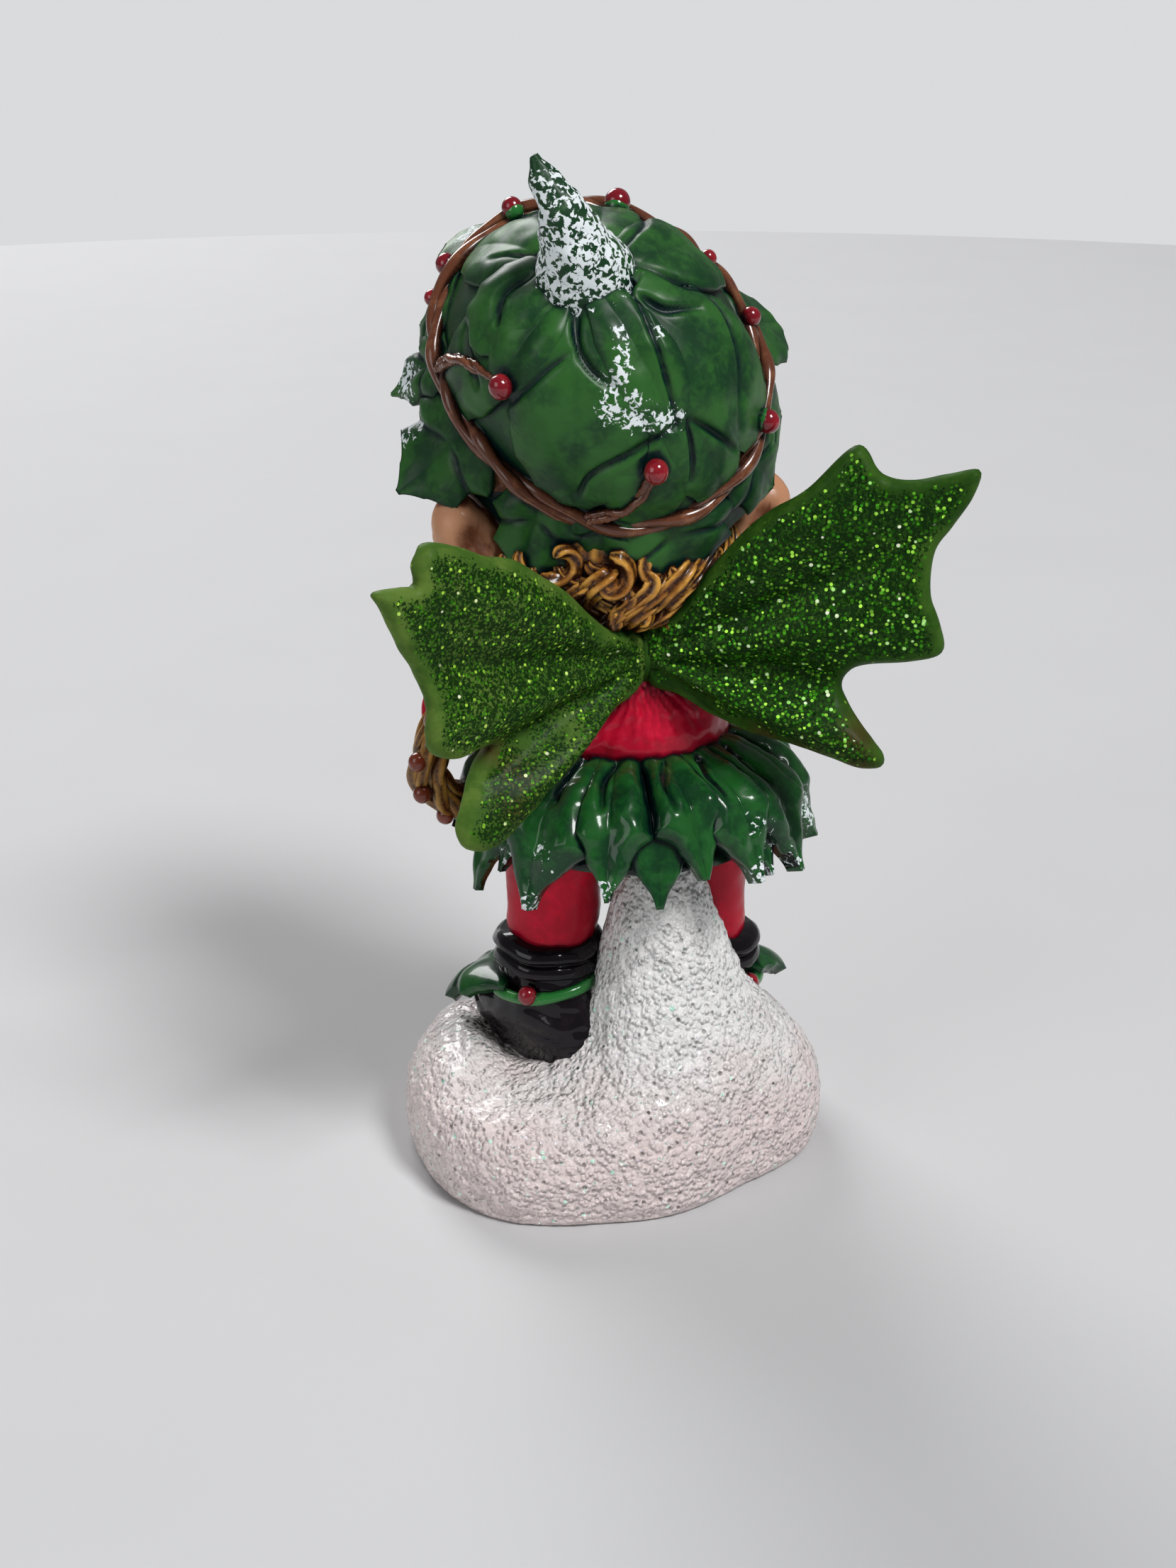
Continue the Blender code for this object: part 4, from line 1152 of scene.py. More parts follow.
@dataclass
class SnowBase:
    """The snow that the elf stands in: a plateau, a rounded rim and a mound at the heels."""

    centre: Place = (0, -1)
    radii: tuple[float, ...] = (28.6, 30, 26.4, 25.2, 29.8, 29.5, 26.3, 25.2, 28.2)
    plateau: float = 15.0
    belly: float = 6.0
    overhang: float = 1.6
    mound_at: Place = (-4.6, 7.6)
    mound_rise: float = 32.5
    mound_spread: float = 8.6
    shoulder_at: Place = (-17.5, 9.5)
    shoulder_rise: float = 5.0
    bank_rise: float = 3.2
    far_bank_at: Place = (17.5, 7)
    far_bank_rise: float = 4.0
    spokes: int = 360
    rows: int = 130
    foot_rows: int = 20
    crust_size: float = 4.2
    crust_rise: float = 0.4
    ridge_size: float = 1.7
    ridge_rise: float = 0.42

    def rim(self, angle: Array, grow: Array | float) -> tuple[Array, Array]:
        """The outline of the snow at an angle, grown outward.

        Args:
            angle: Angles round the centre.
            grow: How far outward.

        Returns:
            Its x and its y.
        """
        total = len(self.radii)
        place = (angle / TAU * total) % total
        first = place.astype(int)
        share = (1 - np.cos(np.pi * (place - first))) / 2
        values = vec(self.radii)
        reach = values[first % total] * (1 - share) + values[(first + 1) % total] * share + grow
        return self.centre[0] + reach * np.cos(angle), self.centre[1] + reach * np.sin(angle)

    def height(self, x: Array, y: Array, roll: Array) -> Array:
        """Height of the snow; roll is 1 on the plateau and 0 at the rim.

        Args:
            x: Places across.
            y: Places towards the back.
            roll: How far in from the rim they are.

        Returns:
            The heights.
        """
        off_x, off_y = x - self.mound_at[0], y - self.mound_at[1]
        spread = self.mound_spread + 1.6 * np.maximum(0, np.cos(np.arctan2(off_y, off_x) - 1.9))
        mound = self.mound_rise / (1 + (np.hypot(off_x, off_y) / spread) ** 4)
        shoulder = bell(x - self.shoulder_at[0], 6.5) * bell(y - self.shoulder_at[1], 5)
        soft = 0.6 * np.sin(0.33 * x + 1) * np.cos(0.29 * y) + 0.4 * np.sin(0.21 * (x + y))
        bank = self.bank_rise / (1 + np.exp((x + 12) / 3))
        beside = 1 + np.exp((self.far_bank_at[0] - x) / 1.5)
        before = 1 + np.exp((y - self.far_bank_at[1]) / 2)
        rise = self.plateau - self.belly + soft + bank + self.far_bank_rise / (beside * before)
        mound = mound + self.shoulder_rise * shoulder
        return self.belly + rise * roll + mound * np.minimum(1, roll * 1.5)

    def build(self, casting: Casting) -> None:
        """Make the snow.

        Args:
            casting: Takes the pieces.
        """
        angles = circle(self.spokes)[None, :]
        share = (1 - (1 - np.linspace(0.02, 1, self.rows)) ** 1.5)[:, None]
        roll = np.sqrt(np.maximum(0, 1 - np.maximum(0, (share - 0.5) / 0.5) ** 2.6))
        edge_x, edge_y = self.rim(angles, self.overhang)
        x = self.mound_at[0] + (edge_x - self.mound_at[0]) * share
        y = self.mound_at[1] + (edge_y - self.mound_at[1]) * share
        top = stacked(x, y, self.height(x, y, roll))
        drop = np.linspace(1, 0, self.foot_rows + 1)[1:, None]
        grow = self.overhang * np.sqrt(1 - (1 - drop) ** 2.4)
        foot = stacked(*self.rim(angles, grow), self.belly * drop)
        form = loft(np.concatenate([top, foot]))
        held = clamp(form.points[:, 2] / 1.5)
        coarse = lumps(form.points, self.crust_size, 3)
        ridges = 0.5 - np.abs(lumps(form.points, self.ridge_size, 3, 5))
        form = form.pushed((self.crust_rise * coarse + self.ridge_rise * ridges - 0.15) * held)
        hollow = clamp(-coarse)
        # fold darkens the crust's hollows as painted shade; crest marks its ridges, where fewer dark pores
        # are painted.
        form.masks = {
            "fold": 0.35 * hollow,
            "crest": clamp(ridges * 2),
            "gilt": np.ones(len(form.points)),
        }
        casting.add("snow_base", [form], SNOW_WHITE)


@dataclass
class Leg:
    """A red legging in a black boot, with a folded cuff, a green band, a berry and a leaf."""

    side: Side
    foot: Place
    sole: float
    radius: float = 6.6
    top: float = 50.0
    ankle_height: float = 13.4
    cuff_height: float = 4.6
    toe_in: float = 0.6
    band_tilt: float = 1.3
    band_radius: float = 0.9
    berry_radius: float = 1.35
    leaning: Place = (1.3, 0.6)
    splay: float = 0.36
    leaf_reach: float = 12.8
    leaf_half_width: float = 4.8

    @property
    def ankle(self) -> float:
        """Height of the ankle."""
        return self.sole + self.ankle_height

    @property
    def lean(self) -> Place:
        """Middle of the ankle."""
        return self.foot[0] + self.leaning[0] * self.side.value, self.foot[1] + self.leaning[1]

    def build(self, casting: Casting) -> None:
        """Make the leg.

        Args:
            casting: Takes the pieces.
        """
        label = self.side.name.lower()
        casting.add(f"legging_{label}", [self.legging()], LEGGING_RED)
        casting.add(f"boot_{label}", [self.boot(), self.cuff()], BOOT_BLACK)
        casting.add(f"ankle_band_{label}", [self.band()], BAND_GREEN)
        x, y = self.lean
        spot = vec((x + 4.6 * self.side.value, y + self.radius, self.ankle - 1.8))
        casting.add(f"ankle_berry_{label}", [berry(spot, self.berry_radius)], BERRY_RED)
        casting.add(f"boot_leaf_{label}", [self.sprig()], LEAF_GREEN)

    def legging(self) -> Shell:
        """The red leg, a little fuller at the top, with soft sideways folds.

        Returns:
            The closed form.
        """
        sign = self.side.value
        x, y = self.foot
        lean = self.lean
        levels = (
            (x, y, self.top, 1.12, 1.08), (x + 0.2 * sign, y, 42, 1.02, 1),
            (x + 0.5 * sign, y, self.ankle + 5, 0.97, 1), (lean[0], lean[1], self.ankle, 0.9, 0.9),
        )
        rows = along_curve(levels, 44)
        form = loft(oval(rows[:, :3], self.radius * rows[:, 3], self.radius * rows[:, 4], 56))
        return form.pushed(0.22 * lumps(form.points * (1, 1, 1.7), 5, 2, 8))

    def boot(self) -> Shell:
        """The boot, from its sole to its ankle.

        Returns:
            The closed form.
        """
        turn = self.splay * self.side.value
        shape = (
            (-1, 5.2, 11.4, -3.2), (1.2, 6.5, 13.2, -3.4), (4.2, 7.2, 13.4, -3.2),
            (7.4, 7.2, 11.2, -2), (10.2, 7, 9, -1), (self.ankle_height + 0.6, 6.8, 7, 0),
        )
        rows = along_curve(shape, 46)
        middle = stacked(
            self.lean[0] - self.toe_in * self.side.value - rows[:, 3] * math.sin(turn),
            self.lean[1] + rows[:, 3] * math.cos(turn),
            self.sole + rows[:, 0],
        )
        form = loft(oval(middle, rows[:, 1], rows[:, 2], 72, turn))
        dents = np.abs(lumps(form.points * (1, 1, 1.5), 6.5, 2, 2))
        return form.pushed(0.25 - 1.1 * clamp(0.35 - dents))

    def cuff(self) -> Shell:
        """The folded top of the boot.

        Returns:
            The closed form.
        """
        folds = (
            (0, 0.2), (0.8, 1.1), (2, 0.9), (2.6, 0.4), (3.4, 1.2), (4.4, 0.9),
            (self.cuff_height + 0.4, 0.2),
        )
        rows = along_curve(folds, 34)
        middle = stacked(*self.lean, self.ankle + rows[:, 0])
        rings = oval(middle, self.radius + rows[:, 1], self.radius + rows[:, 1], 72)
        angles = circle(72)[None, :]
        rings[..., 2] += 0.35 * np.sin(2 * angles + self.side.value) + 0.2 * np.sin(5 * angles)
        return loft(rings).lumpy(0.18, 2.6, 2, 4)

    def band(self) -> Shell:
        """The green band round the ankle.

        Returns:
            The closed form.
        """
        angles = circle(90)
        reach = self.radius + self.band_radius
        path = stacked(
            self.lean[0] + reach * np.cos(angles),
            self.lean[1] + reach * np.sin(angles),
            self.ankle - 1.9 - self.band_tilt * self.side.value * np.cos(angles),
        )
        return tube(path, self.band_radius + 0.08 * np.sin(7 * angles), 16, True)

    def instep(self, reach: Array, _angle: Array) -> tuple[Array, Array]:
        """Slope of the boot under the leaf, the same all round."""
        return self.radius - 0.6 + 0.86 * reach, 0.8 - 0.058 * reach**2

    def sprig(self) -> Shell:
        """The holly leaf that lies over the outer side of the boot.

        Returns:
            The closed form.
        """
        form = upright((*self.lean, self.ankle - 2.6), self.instep)
        sign = self.side.value
        heading = -22 if self.side is Side.LEFT else 202
        root = (heading + 14 * sign, 0.8)
        tip = (heading - 26 * sign, self.leaf_reach)
        return Leaf(root, tip, self.leaf_half_width, thickness=1.3).shell(form)


@dataclass
class Skirt:
    """Holly leaves hanging round the waist over a plain bell that carries them.

    A leaf is the angles of its root and its tip, its reach, its half width, and 1 if
    it lies over its neighbours.  A dab of snow is its middle and its radius.
    """

    centre: Place = (-3.6, 0.2)
    top: float = 62.0
    waist: float = 11.8
    reach: float = 12.6
    drop: float = 17.0
    leaves: tuple[tuple[float, float, float, float, int], ...] = (
        (44, 41, 30, 7.4, 1), (62, 66, 28.2, 5.7, 1), (88, 96, 26.4, 5.3, 1), (109, 115, 27.8, 5.9, 1),
        (132, 134, 28.6, 5.9, 1), (152, 153, 27.4, 6.2, 1), (10, 13, 31, 6.2, 0), (26, 24, 28, 6, 0),
        (79, 82, 28.8, 6.4, 0), (122, 125, 28, 6, 0), (176, 174, 28, 6.4, 0),
        (-162, -160, 29.2, 6.6, 1), (-139, -142, 27.8, 6.2, 0), (-117, -115, 29.4, 6.6, 1),
        (-94, -96, 28, 6.2, 0), (-72, -70, 29.2, 6.6, 1), (-49, -51, 28.2, 6.2, 0),
        (-27, -24, 29.6, 6.6, 1), (-8, -7, 28.4, 5.6, 0),
    )
    snow: tuple[tuple[Point, float], ...] = (
        ((18.5, 11.8, 51.4), 3.2), ((13, 17.4, 53.5), 2.6), ((17, 17.3, 46), 4),
        ((8.3, 22.8, 50), 3.4), ((-14, 19.3, 56), 3.4), ((-15, 23, 50), 3.2),
        ((-24, 12, 54), 4.4), ((-19, 21, 49), 4.4),
    )

    def profile(self, reach: Array, _angle: Array) -> tuple[Array, Array]:
        """Bell of the skirt: out from the waist, then down, the same all round.

        Args:
            reach: Places out from the middle of the flat sheet.

        Returns:
            The radius and the height.
        """
        share = (reach - self.waist) / (self.reach + 6)
        swing = np.clip(share, -0.2, 1.3) * 1.2
        radius = self.waist + self.reach * np.sin(swing) / math.sin(1.2)
        return radius, -self.drop * (0.45 * share + 0.55 * share**2)

    def build(self, casting: Casting) -> None:
        """Make the skirt.

        Args:
            casting: Takes the pieces.
        """
        form = upright((*self.centre, self.top), self.profile)
        shells = [self.bell_form()]
        for heading, tip, reach, half_width, over in self.leaves:
            bends = ((1.5, 1), (-2, 4.5), (0, 7.5))
            knots = tuple((heading + turn, self.waist + down) for turn, down in bends)
            leaf = Leaf(
                (heading, self.waist - 1.2), (tip, reach), half_width,
                thickness=0.8 + 2.2 * over, belly=2.2 + 1.6 * over, sink=1.2, curl=0.3 + 0.9 * over,
                cleft=0.35, shape=LeafShape.SHORT, rows=56, columns=45,
                creases=(Crease(knots, 0.5, 1.1 * over),),
            )
            shells.append(leaf.shell(form))
        shell = joined(shells).lumpy(0.45, 4.2, 2, 9)
        shell.masks["snow"] = dusted(shell.points, self.snow)
        casting.add("skirt", [shell], LEAF_GREEN)

    def bell_form(self) -> Shell:
        """The plain bell under the leaves.

        Returns:
            The closed form.
        """
        share = np.linspace(0, 0.72, 24)
        radius, height = self.profile(self.waist + share * (self.reach + 6), np.zeros(24))
        middle = [(*self.centre, self.top + rise - 0.6) for rise in height]
        middle.append((*self.centre, self.top - 14.5))
        return loft(oval(middle, np.append(radius - 0.6, 14.5), np.append(radius - 0.9, 13.5), 72))


def dusted(points: Array, patches: Sequence[tuple[Sequence[float], float]]) -> Array:
    """How thickly white specks lie.

    Args:
        points: The places to read.
        patches: Middle and radius of each dabbed patch.

    Returns:
        One value for each place, 1 in the middle of a patch.
    """
    snow = np.zeros(len(points))
    for middle, radius in patches:
        gap = lengths(points - vec(middle))
        snow = np.maximum(snow, clamp(1.35 - gap / radius))
    return snow


@dataclass
class Jacket:
    """The red jacket with its two sleeves."""

    levels: tuple[tuple[float, ...], ...] = (
        (50, -3.2, 0.4, 11, 10), (60.6, -3.2, 0.4, 12.2, 11.2), (63, -3, 0.5, 13.2, 12.4),
        (67, -2.6, 0.6, 13.4, 12.6), (71.5, -2.2, 0.4, 12.2, 11.4), (76, -1.8, 0.3, 11.6, 10.6),
        (81, -1.4, 0.2, 11.2, 9.8), (86, -0.8, 0, 8.6, 8.4), (92, 0, -0.6, 6.6, 6.6),
    )
    left_arm: tuple[Point, ...] = (
        (8, 0.6, 83), (15, 0.6, 77), (19.6, -0.4, 70), (20, -5.4, 66.2),
    )
    right_arm: tuple[Point, ...] = (
        (-10, 0.4, 83), (-16.8, -1, 76), (-18.2, -5.6, 69.6), (-13.2, -11.6, 67.4),
    )
    sleeve: tuple[float, ...] = (4.6, 5.2, 5.4, 5.4, 5.3, 5.1, 4.9, 4.9, 5.1)
    cuff_radius: float = 4.7
    cuff_roll: float = 1.0
    gather: Point = (-1.5, 10.6, 77)
    gather_reach: float = 15.0
    gather_count: float = 34.0

    def build(self, casting: Casting) -> None:
        """Make the jacket and the sleeves.

        Args:
            casting: Takes the pieces.
        """
        casting.add("jacket", [self.body()], JACKET_RED)
        for side, route in ((Side.LEFT, self.left_arm), (Side.RIGHT, self.right_arm)):
            casting.add(f"sleeve_{side.name.lower()}", self.arm(route), JACKET_RED)

    def body(self) -> Shell:
        """The body of the jacket, with fine creases that run out from the wings' joint.

        Returns:
            The closed form.
        """
        rows = along_curve(self.levels, 120)
        form = loft(oval(rows[:, [1, 2, 0]], rows[:, 3], rows[:, 4], 200))
        off = form.points - vec(self.gather)
        gap = lengths(off)
        angle = np.arctan2(off[:, 0], -off[:, 2])
        behind = clamp(form.points[:, 1] / 5)
        pull = clamp(1 - gap / self.gather_reach) * behind
        wobble = lumps(form.points, 3, 3, 6)
        crease = 0.5 - 0.5 * np.cos(self.gather_count * angle + 3.4 * wobble)
        soft = 0.6 * lumps(form.points * (1, 1, 1.4), 6, 2, 1)
        shaped = form.pushed(soft - 0.8 * pull * crease)
        # fold darkens the creases with painted shade and the dark wash; crest lightens the cloth between
        # them as painted highlight.
        shaped.masks = {"fold": pull * crease**2, "crest": 0.7 * (1 - crease) * pull}
        return shaped

    def arm(self, route: tuple[Point, ...]) -> list[Shell]:
        """One sleeve with folds at the elbow and a rolled cuff.

        Args:
            route: Knots of its middle line.

        Returns:
            The forms of the sleeve and its cuff.
        """
        path = along_curve(route, 60)
        share = np.linspace(0, 1, 60)
        radii = blend(self.sleeve, 60)
        folds = bell(share - 0.55, 0.2)
        form = tube(path, radii + 0.3 * folds * np.sin(34 * share), 48).lumpy(0.3, 4, 2, 7)
        side, up = path_frames(path, False)
        angles = circle(60)[:, None]
        ring = path[-3] + self.cuff_radius * (np.cos(angles) * side[-3] + np.sin(angles) * up[-3])
        return [form, tube(ring, self.cuff_roll, 14, True)]


@dataclass
class Hands:
    """Plain doll's hands: the left grips the wreath and the right rests on the jacket's front."""

    left: Point = (20.2, -8.2, 64.6)
    right: Point = (-9.6, -13, 67)
    palm: Point = (3.3, 3.3, 3.5)
    finger: float = 1.25
    finger_lengths: tuple[float, ...] = (3.2, 3.9, 3.7, 2.9)
    finger_gap: float = 1.55
    finger_taper: tuple[float, ...] = (1, 1.04, 1.05, 1, 1, 0.96, 0.9, 0.75, 0.35)
    thumb_taper: tuple[float, ...] = (1.1, 1.1, 1.08, 1, 0.95, 0.75, 0.35)

    def build(self, casting: Casting) -> None:
        """Make both hands."""
        casting.add("hand_left", self.hand(self.left, (-0.2, -0.5, -1), (1, -0.2, 0)), FLESH)
        casting.add("hand_right", self.hand(self.right, (1, -0.25, -0.25), (0.1, 0.1, -1)), FLESH)

    def hand(self, middle: Point, point: Point, spread: Point) -> list[Shell]:
        """A palm, four fingers side by side and a thumb.

        Args:
            middle: Middle of the palm.
            point: The way in which the fingers point.
            spread: The way from the first finger to the last.

        Returns:
            The forms of the hand.
        """
        point, spread = unit(point), unit(spread)
        inward = unit(np.cross(point, spread))
        if inward[1] < 0:
            inward = -inward
        forms = [ball(middle, self.palm, 36, 24)]
        for number, length in enumerate(self.finger_lengths):
            start = middle + spread * (number - 1.5) * self.finger_gap + point - inward * 0.8
            end = start + point * length
            knots = [start, start + point * length * 0.6 - inward * 0.3, end + inward * 0.9]
            forms.append(tube(along_curve(knots, 9), self.finger * vec(self.finger_taper), 16))
        start = middle - spread * 2.2
        knots = [start, start - spread + point * 1.8, start - spread * 0.6 + point * 3.4]
        forms.append(tube(along_curve(knots, 7), self.finger * vec(self.thumb_taper), 16))
        return forms


@dataclass
class Head:
    """A round doll's head with full cheeks, a button nose, ears and a painted face.

    A swell is its direction, its spread and its height; a blush is its direction,
    its spread and its strength.  Sizes given for one side hold for both.
    """

    centre: Point = (0.6, -3, 108.6)
    size: Point = (22.6, 20.4, 21.2)
    tuck: float = 0.2
    swells: tuple[tuple[Point, float, float], ...] = (
        ((0.62, -0.66, -0.36), 0.34, 2.6), ((-0.62, -0.66, -0.36), 0.34, 2.6),
        ((0, -0.9, -0.18), 0.13, 2.7), ((0, -0.8, -0.62), 0.24, 1.5),
        ((0.34, -0.92, 0.08), 0.2, -0.9), ((-0.34, -0.92, 0.08), 0.2, -0.9),
    )
    blushes: tuple[tuple[Point, float, float], ...] = (
        ((0.62, -0.7, -0.3), 0.3, 1), ((-0.62, -0.7, -0.3), 0.3, 1), ((0, -0.9, -0.2), 0.1, 0.6),
    )
    ear: tuple[Point, ...] = (
        (13.6, 6.4, -19.4), (18.4, 6.6, -16.6), (20.8, 5.6, -12.8), (20.8, 3.4, -9.4),
    )
    ear_hollow: Point = (19.6, 10.2, -14.8)
    eye_at: Point = (7.6, -18.6, 2)
    eye_size: Point = (2.3, 1.4, 2.9)
    lip_shapes: tuple[Place, ...] = ((0, 0.45), (-2, 0.6))

    def skin(self, way: Array) -> Array:
        """Where the skin is, in directions from the head's middle.

        Args:
            way: Unit vectors.

        Returns:
            The places.
        """
        way = np.asarray(way, dtype=float)
        swell = np.zeros(way.shape[:-1])
        for middle, spread, height in self.swells:
            gap = lengths(way - unit(middle))
            swell = swell + height * bell(gap, spread)
        tuck = 1 - self.tuck * np.maximum(0, way[..., 1]) ** 1.5
        return vec(self.centre) + way * (vec(self.size) * tuck[..., None] + swell[..., None])

    def on(self, turn: float, rise: float, lift: float) -> Array:
        """A place on the plain head: turn from straight ahead, rise above level, lift off it."""
        way = direction(turn, rise) * AHEAD
        return vec(self.centre) + way * (vec(self.size) + lift)

    def face(self, across: float, up: float, lift: float) -> Array:
        """A place on the face, by degrees across and up from straight ahead."""
        way = direction(math.radians(across), math.radians(up)) * AHEAD
        return self.skin(way) + way * lift

    def build(self, casting: Casting) -> None:
        """Make the head, the ears and the face.

        Args:
            casting: Takes the pieces.
        """
        angles = circle(128)[None, :] + math.pi / 2
        polar = np.linspace(0.04, math.pi - 0.04, 96)[:, None]
        ways = stacked(np.sin(polar) * np.cos(angles), np.sin(polar) * np.sin(angles), -np.cos(polar))
        blush = np.zeros((96, 128))
        for middle, spread, strength in self.blushes:
            gap = lengths(ways - unit(middle))
            blush = np.maximum(blush, strength * bell(gap, spread))
        head = loft(self.skin(ways), False, {"blush": blush})
        casting.add("head", [head, *self.ears()], FLESH)
        self.build_face(casting)

    def ears(self) -> list[Shell]:
        """Two ears, each with a hollow in its rim.

        Returns:
            Their closed forms.
        """
        forms = []
        for side in (-1, 1):
            mirror = (side, 1, 1)
            knots = vec(self.centre) + vec(self.ear) * mirror
            radii = blend((2.4, 3.8, 4.2, 4, 2.8, 0.8), 60)
            form = tube(along_curve(knots, 60), radii, 72)
            middle = vec(self.centre) + vec(self.ear_hollow) * mirror
            dish = bell(lengths((form.points - middle) * (1.1, 0.8, 0.85)), 2.5)
            form = form.pushed(0.15 * lumps(form.points, 2.4, 2, 4) - 1.9 * dish)
            # The fold mask darkens the hollow with painted shade and the dark wash.
            form.masks = {"fold": np.clip(2.2 * dish, 0, 1.3)}
            forms.append(form)
        return forms

    def build_face(self, casting: Casting) -> None:
        """Make the eyes with their lids and brows, and the lips.

        Args:
            casting: Takes the pieces.
        """
        lids, lines, brows = [], [], []
        for side in (Side.RIGHT, Side.LEFT):
            sign = side.value
            middle = vec(self.centre) + vec(self.eye_at) * (sign, 1, 1)
            eye = ball(middle, self.eye_size, 40, 32)
            off = eye.points - middle
            off[:, 0] += 0.3 * sign
            front = np.where(off[:, 1] < 0, 0, 9)
            eye.masks = {
                "gaze": np.hypot(off[:, 0], off[:, 2] * 0.9) + front,
                "glint": np.hypot(off[:, 0] - 0.45, off[:, 2] - 0.75) + front,
            }
            casting.add(f"eye_{side.name.lower()}", [eye], EYE_WHITE)
            arc = np.radians(np.linspace(14, 166, 24))
            lid = middle + stacked(2.45 * np.cos(arc), -0.75 - 0.75 * np.sin(arc), 0.25 + 2.7 * np.sin(arc))
            taper = np.sin(np.linspace(0.16, math.pi - 0.16, 24))
            lids.append(tube(lid + (0, 0.25, 0.45), 0.3 + 0.5 * taper, 14))
            lines.append(tube(lid + (0, -0.15, 0), 0.08 + 0.2 * taper, 10))
            brow = [
                self.face((12 + 5.5 * step) * sign, 19.5 + 1.6 * math.sin(0.9 * step), 0.1)
                for step in range(4)
            ]
            brows.append(tube(along_curve(brow, 24), 0.12 + 0.42 * taper, 14, False, Flutes(4, 0.12, 1)))
        casting.add("eyelids", lids, FLESH)
        casting.add("eyelid_lines", lines, LID_BROWN)
        casting.add("eyebrows", brows, HAIR_GOLD)
        lips = []
        taper = np.sin(np.linspace(0.1, math.pi - 0.1, 30))
        for drop, radius in self.lip_shapes:
            knots = []
            for share in (-1, -0.6, 0, 0.6, 1):
                rise = -22.6 + 2.6 * share**2 + drop * (1 - abs(share))
                knots.append(self.face(9.4 * share, rise, 0.05))
            lips.append(tube(along_curve(knots, 30), 0.1 + radius * taper, 14))
        casting.add("lips", lips, LIP_ROSE)


@dataclass
class Hair:
    """Golden-brown curls: a mass of ringlets at the nape and a fringe under the brim."""

    head: Head
    nape: Point = (1.6, 5.4, 92.4)
    nape_size: Point = (15.4, 9.6, 10.8)
    curls: tuple[Point, ...] = (
        (10.5, 13, 92.5), (4.5, 15.2, 90.4), (-2.5, 14.6, 91), (-8.8, 12.2, 90.6),
        (7.6, 13.6, 86.6), (0.8, 14, 84.6), (-5.4, 13, 85.4), (14.2, 9.6, 92),
    )
    locks: int = 9
    wave_count: int = 40
    wave_fan: float = 80.0
    wave_radius: float = 1.55

    def build(self, casting: Casting) -> None:
        """Make the hair."""
        casting.add("nape_hair", [self.mass(), *self.ringlets(), *self.waves()], HAIR_GOLD)
        casting.add("fringe", self.fringe(), HAIR_GOLD)

    def mass(self) -> Shell:
        """The rounded mass under the curls, combed in waves.

        Returns:
            The closed form.
        """
        form = ball(self.nape, self.nape_size, 120, 80)
        wave = lumps(form.points, 5, 2, 2)
        comb = 0.5 - 0.5 * np.cos(2.1 * form.points[:, 0] + 5 * wave)
        form = form.pushed(-0.5 * comb)
        # fold darkens the combed grooves with painted shade and the dark wash; crest lightens the waves as
        # painted highlight.
        form.masks = {"fold": 0.8 * comb, "crest": 1 - comb}
        return form

    def waves(self) -> list[Shell]:
        """Wavy locks that flow down over the mass towards the wings' joint.

        Returns:
            One form for each lock.
        """
        forms = []
        steps = np.linspace(0, 1, 28)
        for number in range(self.wave_count):
            across = math.radians(-self.wave_fan + 2 * self.wave_fan * ((number * 0.618) % 1))
            rise = math.radians(5 - 40 * (number + 0.5) / self.wave_count)
            sway = TAU * (0.9 + 0.3 * math.sin(1.3 * number)) * steps + 2.4 * number
            turns = across * (1 - 0.35 * steps) + (0.06 + 0.13 * steps) * np.sin(sway)
            rises = rise - 0.7 * steps + 0.09 * np.cos(sway)
            lift = 1.1 * np.sin(np.pi * steps) ** 0.8 + 0.5 * np.sin(sway + 1.2) - 0.2
            path = vec(self.nape) + direction(turns, rises) * (vec(self.nape_size) + lift[:, None])
            taper = np.sin(np.linspace(0.35, math.pi - 0.2, 28)) ** 0.8
            radii = (self.wave_radius + 0.3 * math.sin(2.1 * number)) * taper
            forms.append(tube(path, radii, 30, False, Flutes(5, 0.2, 0.7)))
        return forms

    def ringlets(self) -> list[Shell]:
        """Spiral curls that stand out of the mass.

        Returns:
            One form for each curl.
        """
        forms = []
        steps = np.linspace(0, 8, 34)
        for number, spot in enumerate(self.curls):
            turn = 1 if number % 2 else -1
            angle = turn * (0.6 + steps * 0.62) + number
            reach = 3 - 0.24 * steps
            coil = stacked(reach * np.cos(angle), 0.14 * steps, reach * np.sin(angle))
            radii = np.linspace(1.5, 0.9, 34) * np.minimum(1, 0.35 + steps * 1.2)
            radii[-4:] *= (0.9, 0.75, 0.5, 0.25)
            forms.append(tube(vec(spot) + coil, radii, 20, False, Flutes(4, 0.15, 1.2)))
        return forms

    def fringe(self) -> list[Shell]:
        """Locks swept over the brow.

        Returns:
            One form for each lock.
        """
        forms = []
        for number in range(self.locks):
            turn = math.radians(-64 + 16 * number)
            sweep = math.radians(9) * (1 if number % 2 else -1)
            low = math.radians(33 - 44 * abs(math.sin(turn)) ** 3)
            high = math.radians(54 - 22 * abs(math.sin(turn)))
            path = []
            for share in np.linspace(0, 1, 30):
                rise = high * (1 - share) + low * share
                path.append(self.head.on(turn + sweep * math.sin(3.4 * share), rise, 0.4 + 0.7 * share))
            radii = blend((2.6, 2.6, 2.3, 1.9, 1.4, 0.4), 30)
            forms.append(tube(np.array(path), radii, 26, False, Flutes(5, 0.14, 0.8)))
        return forms


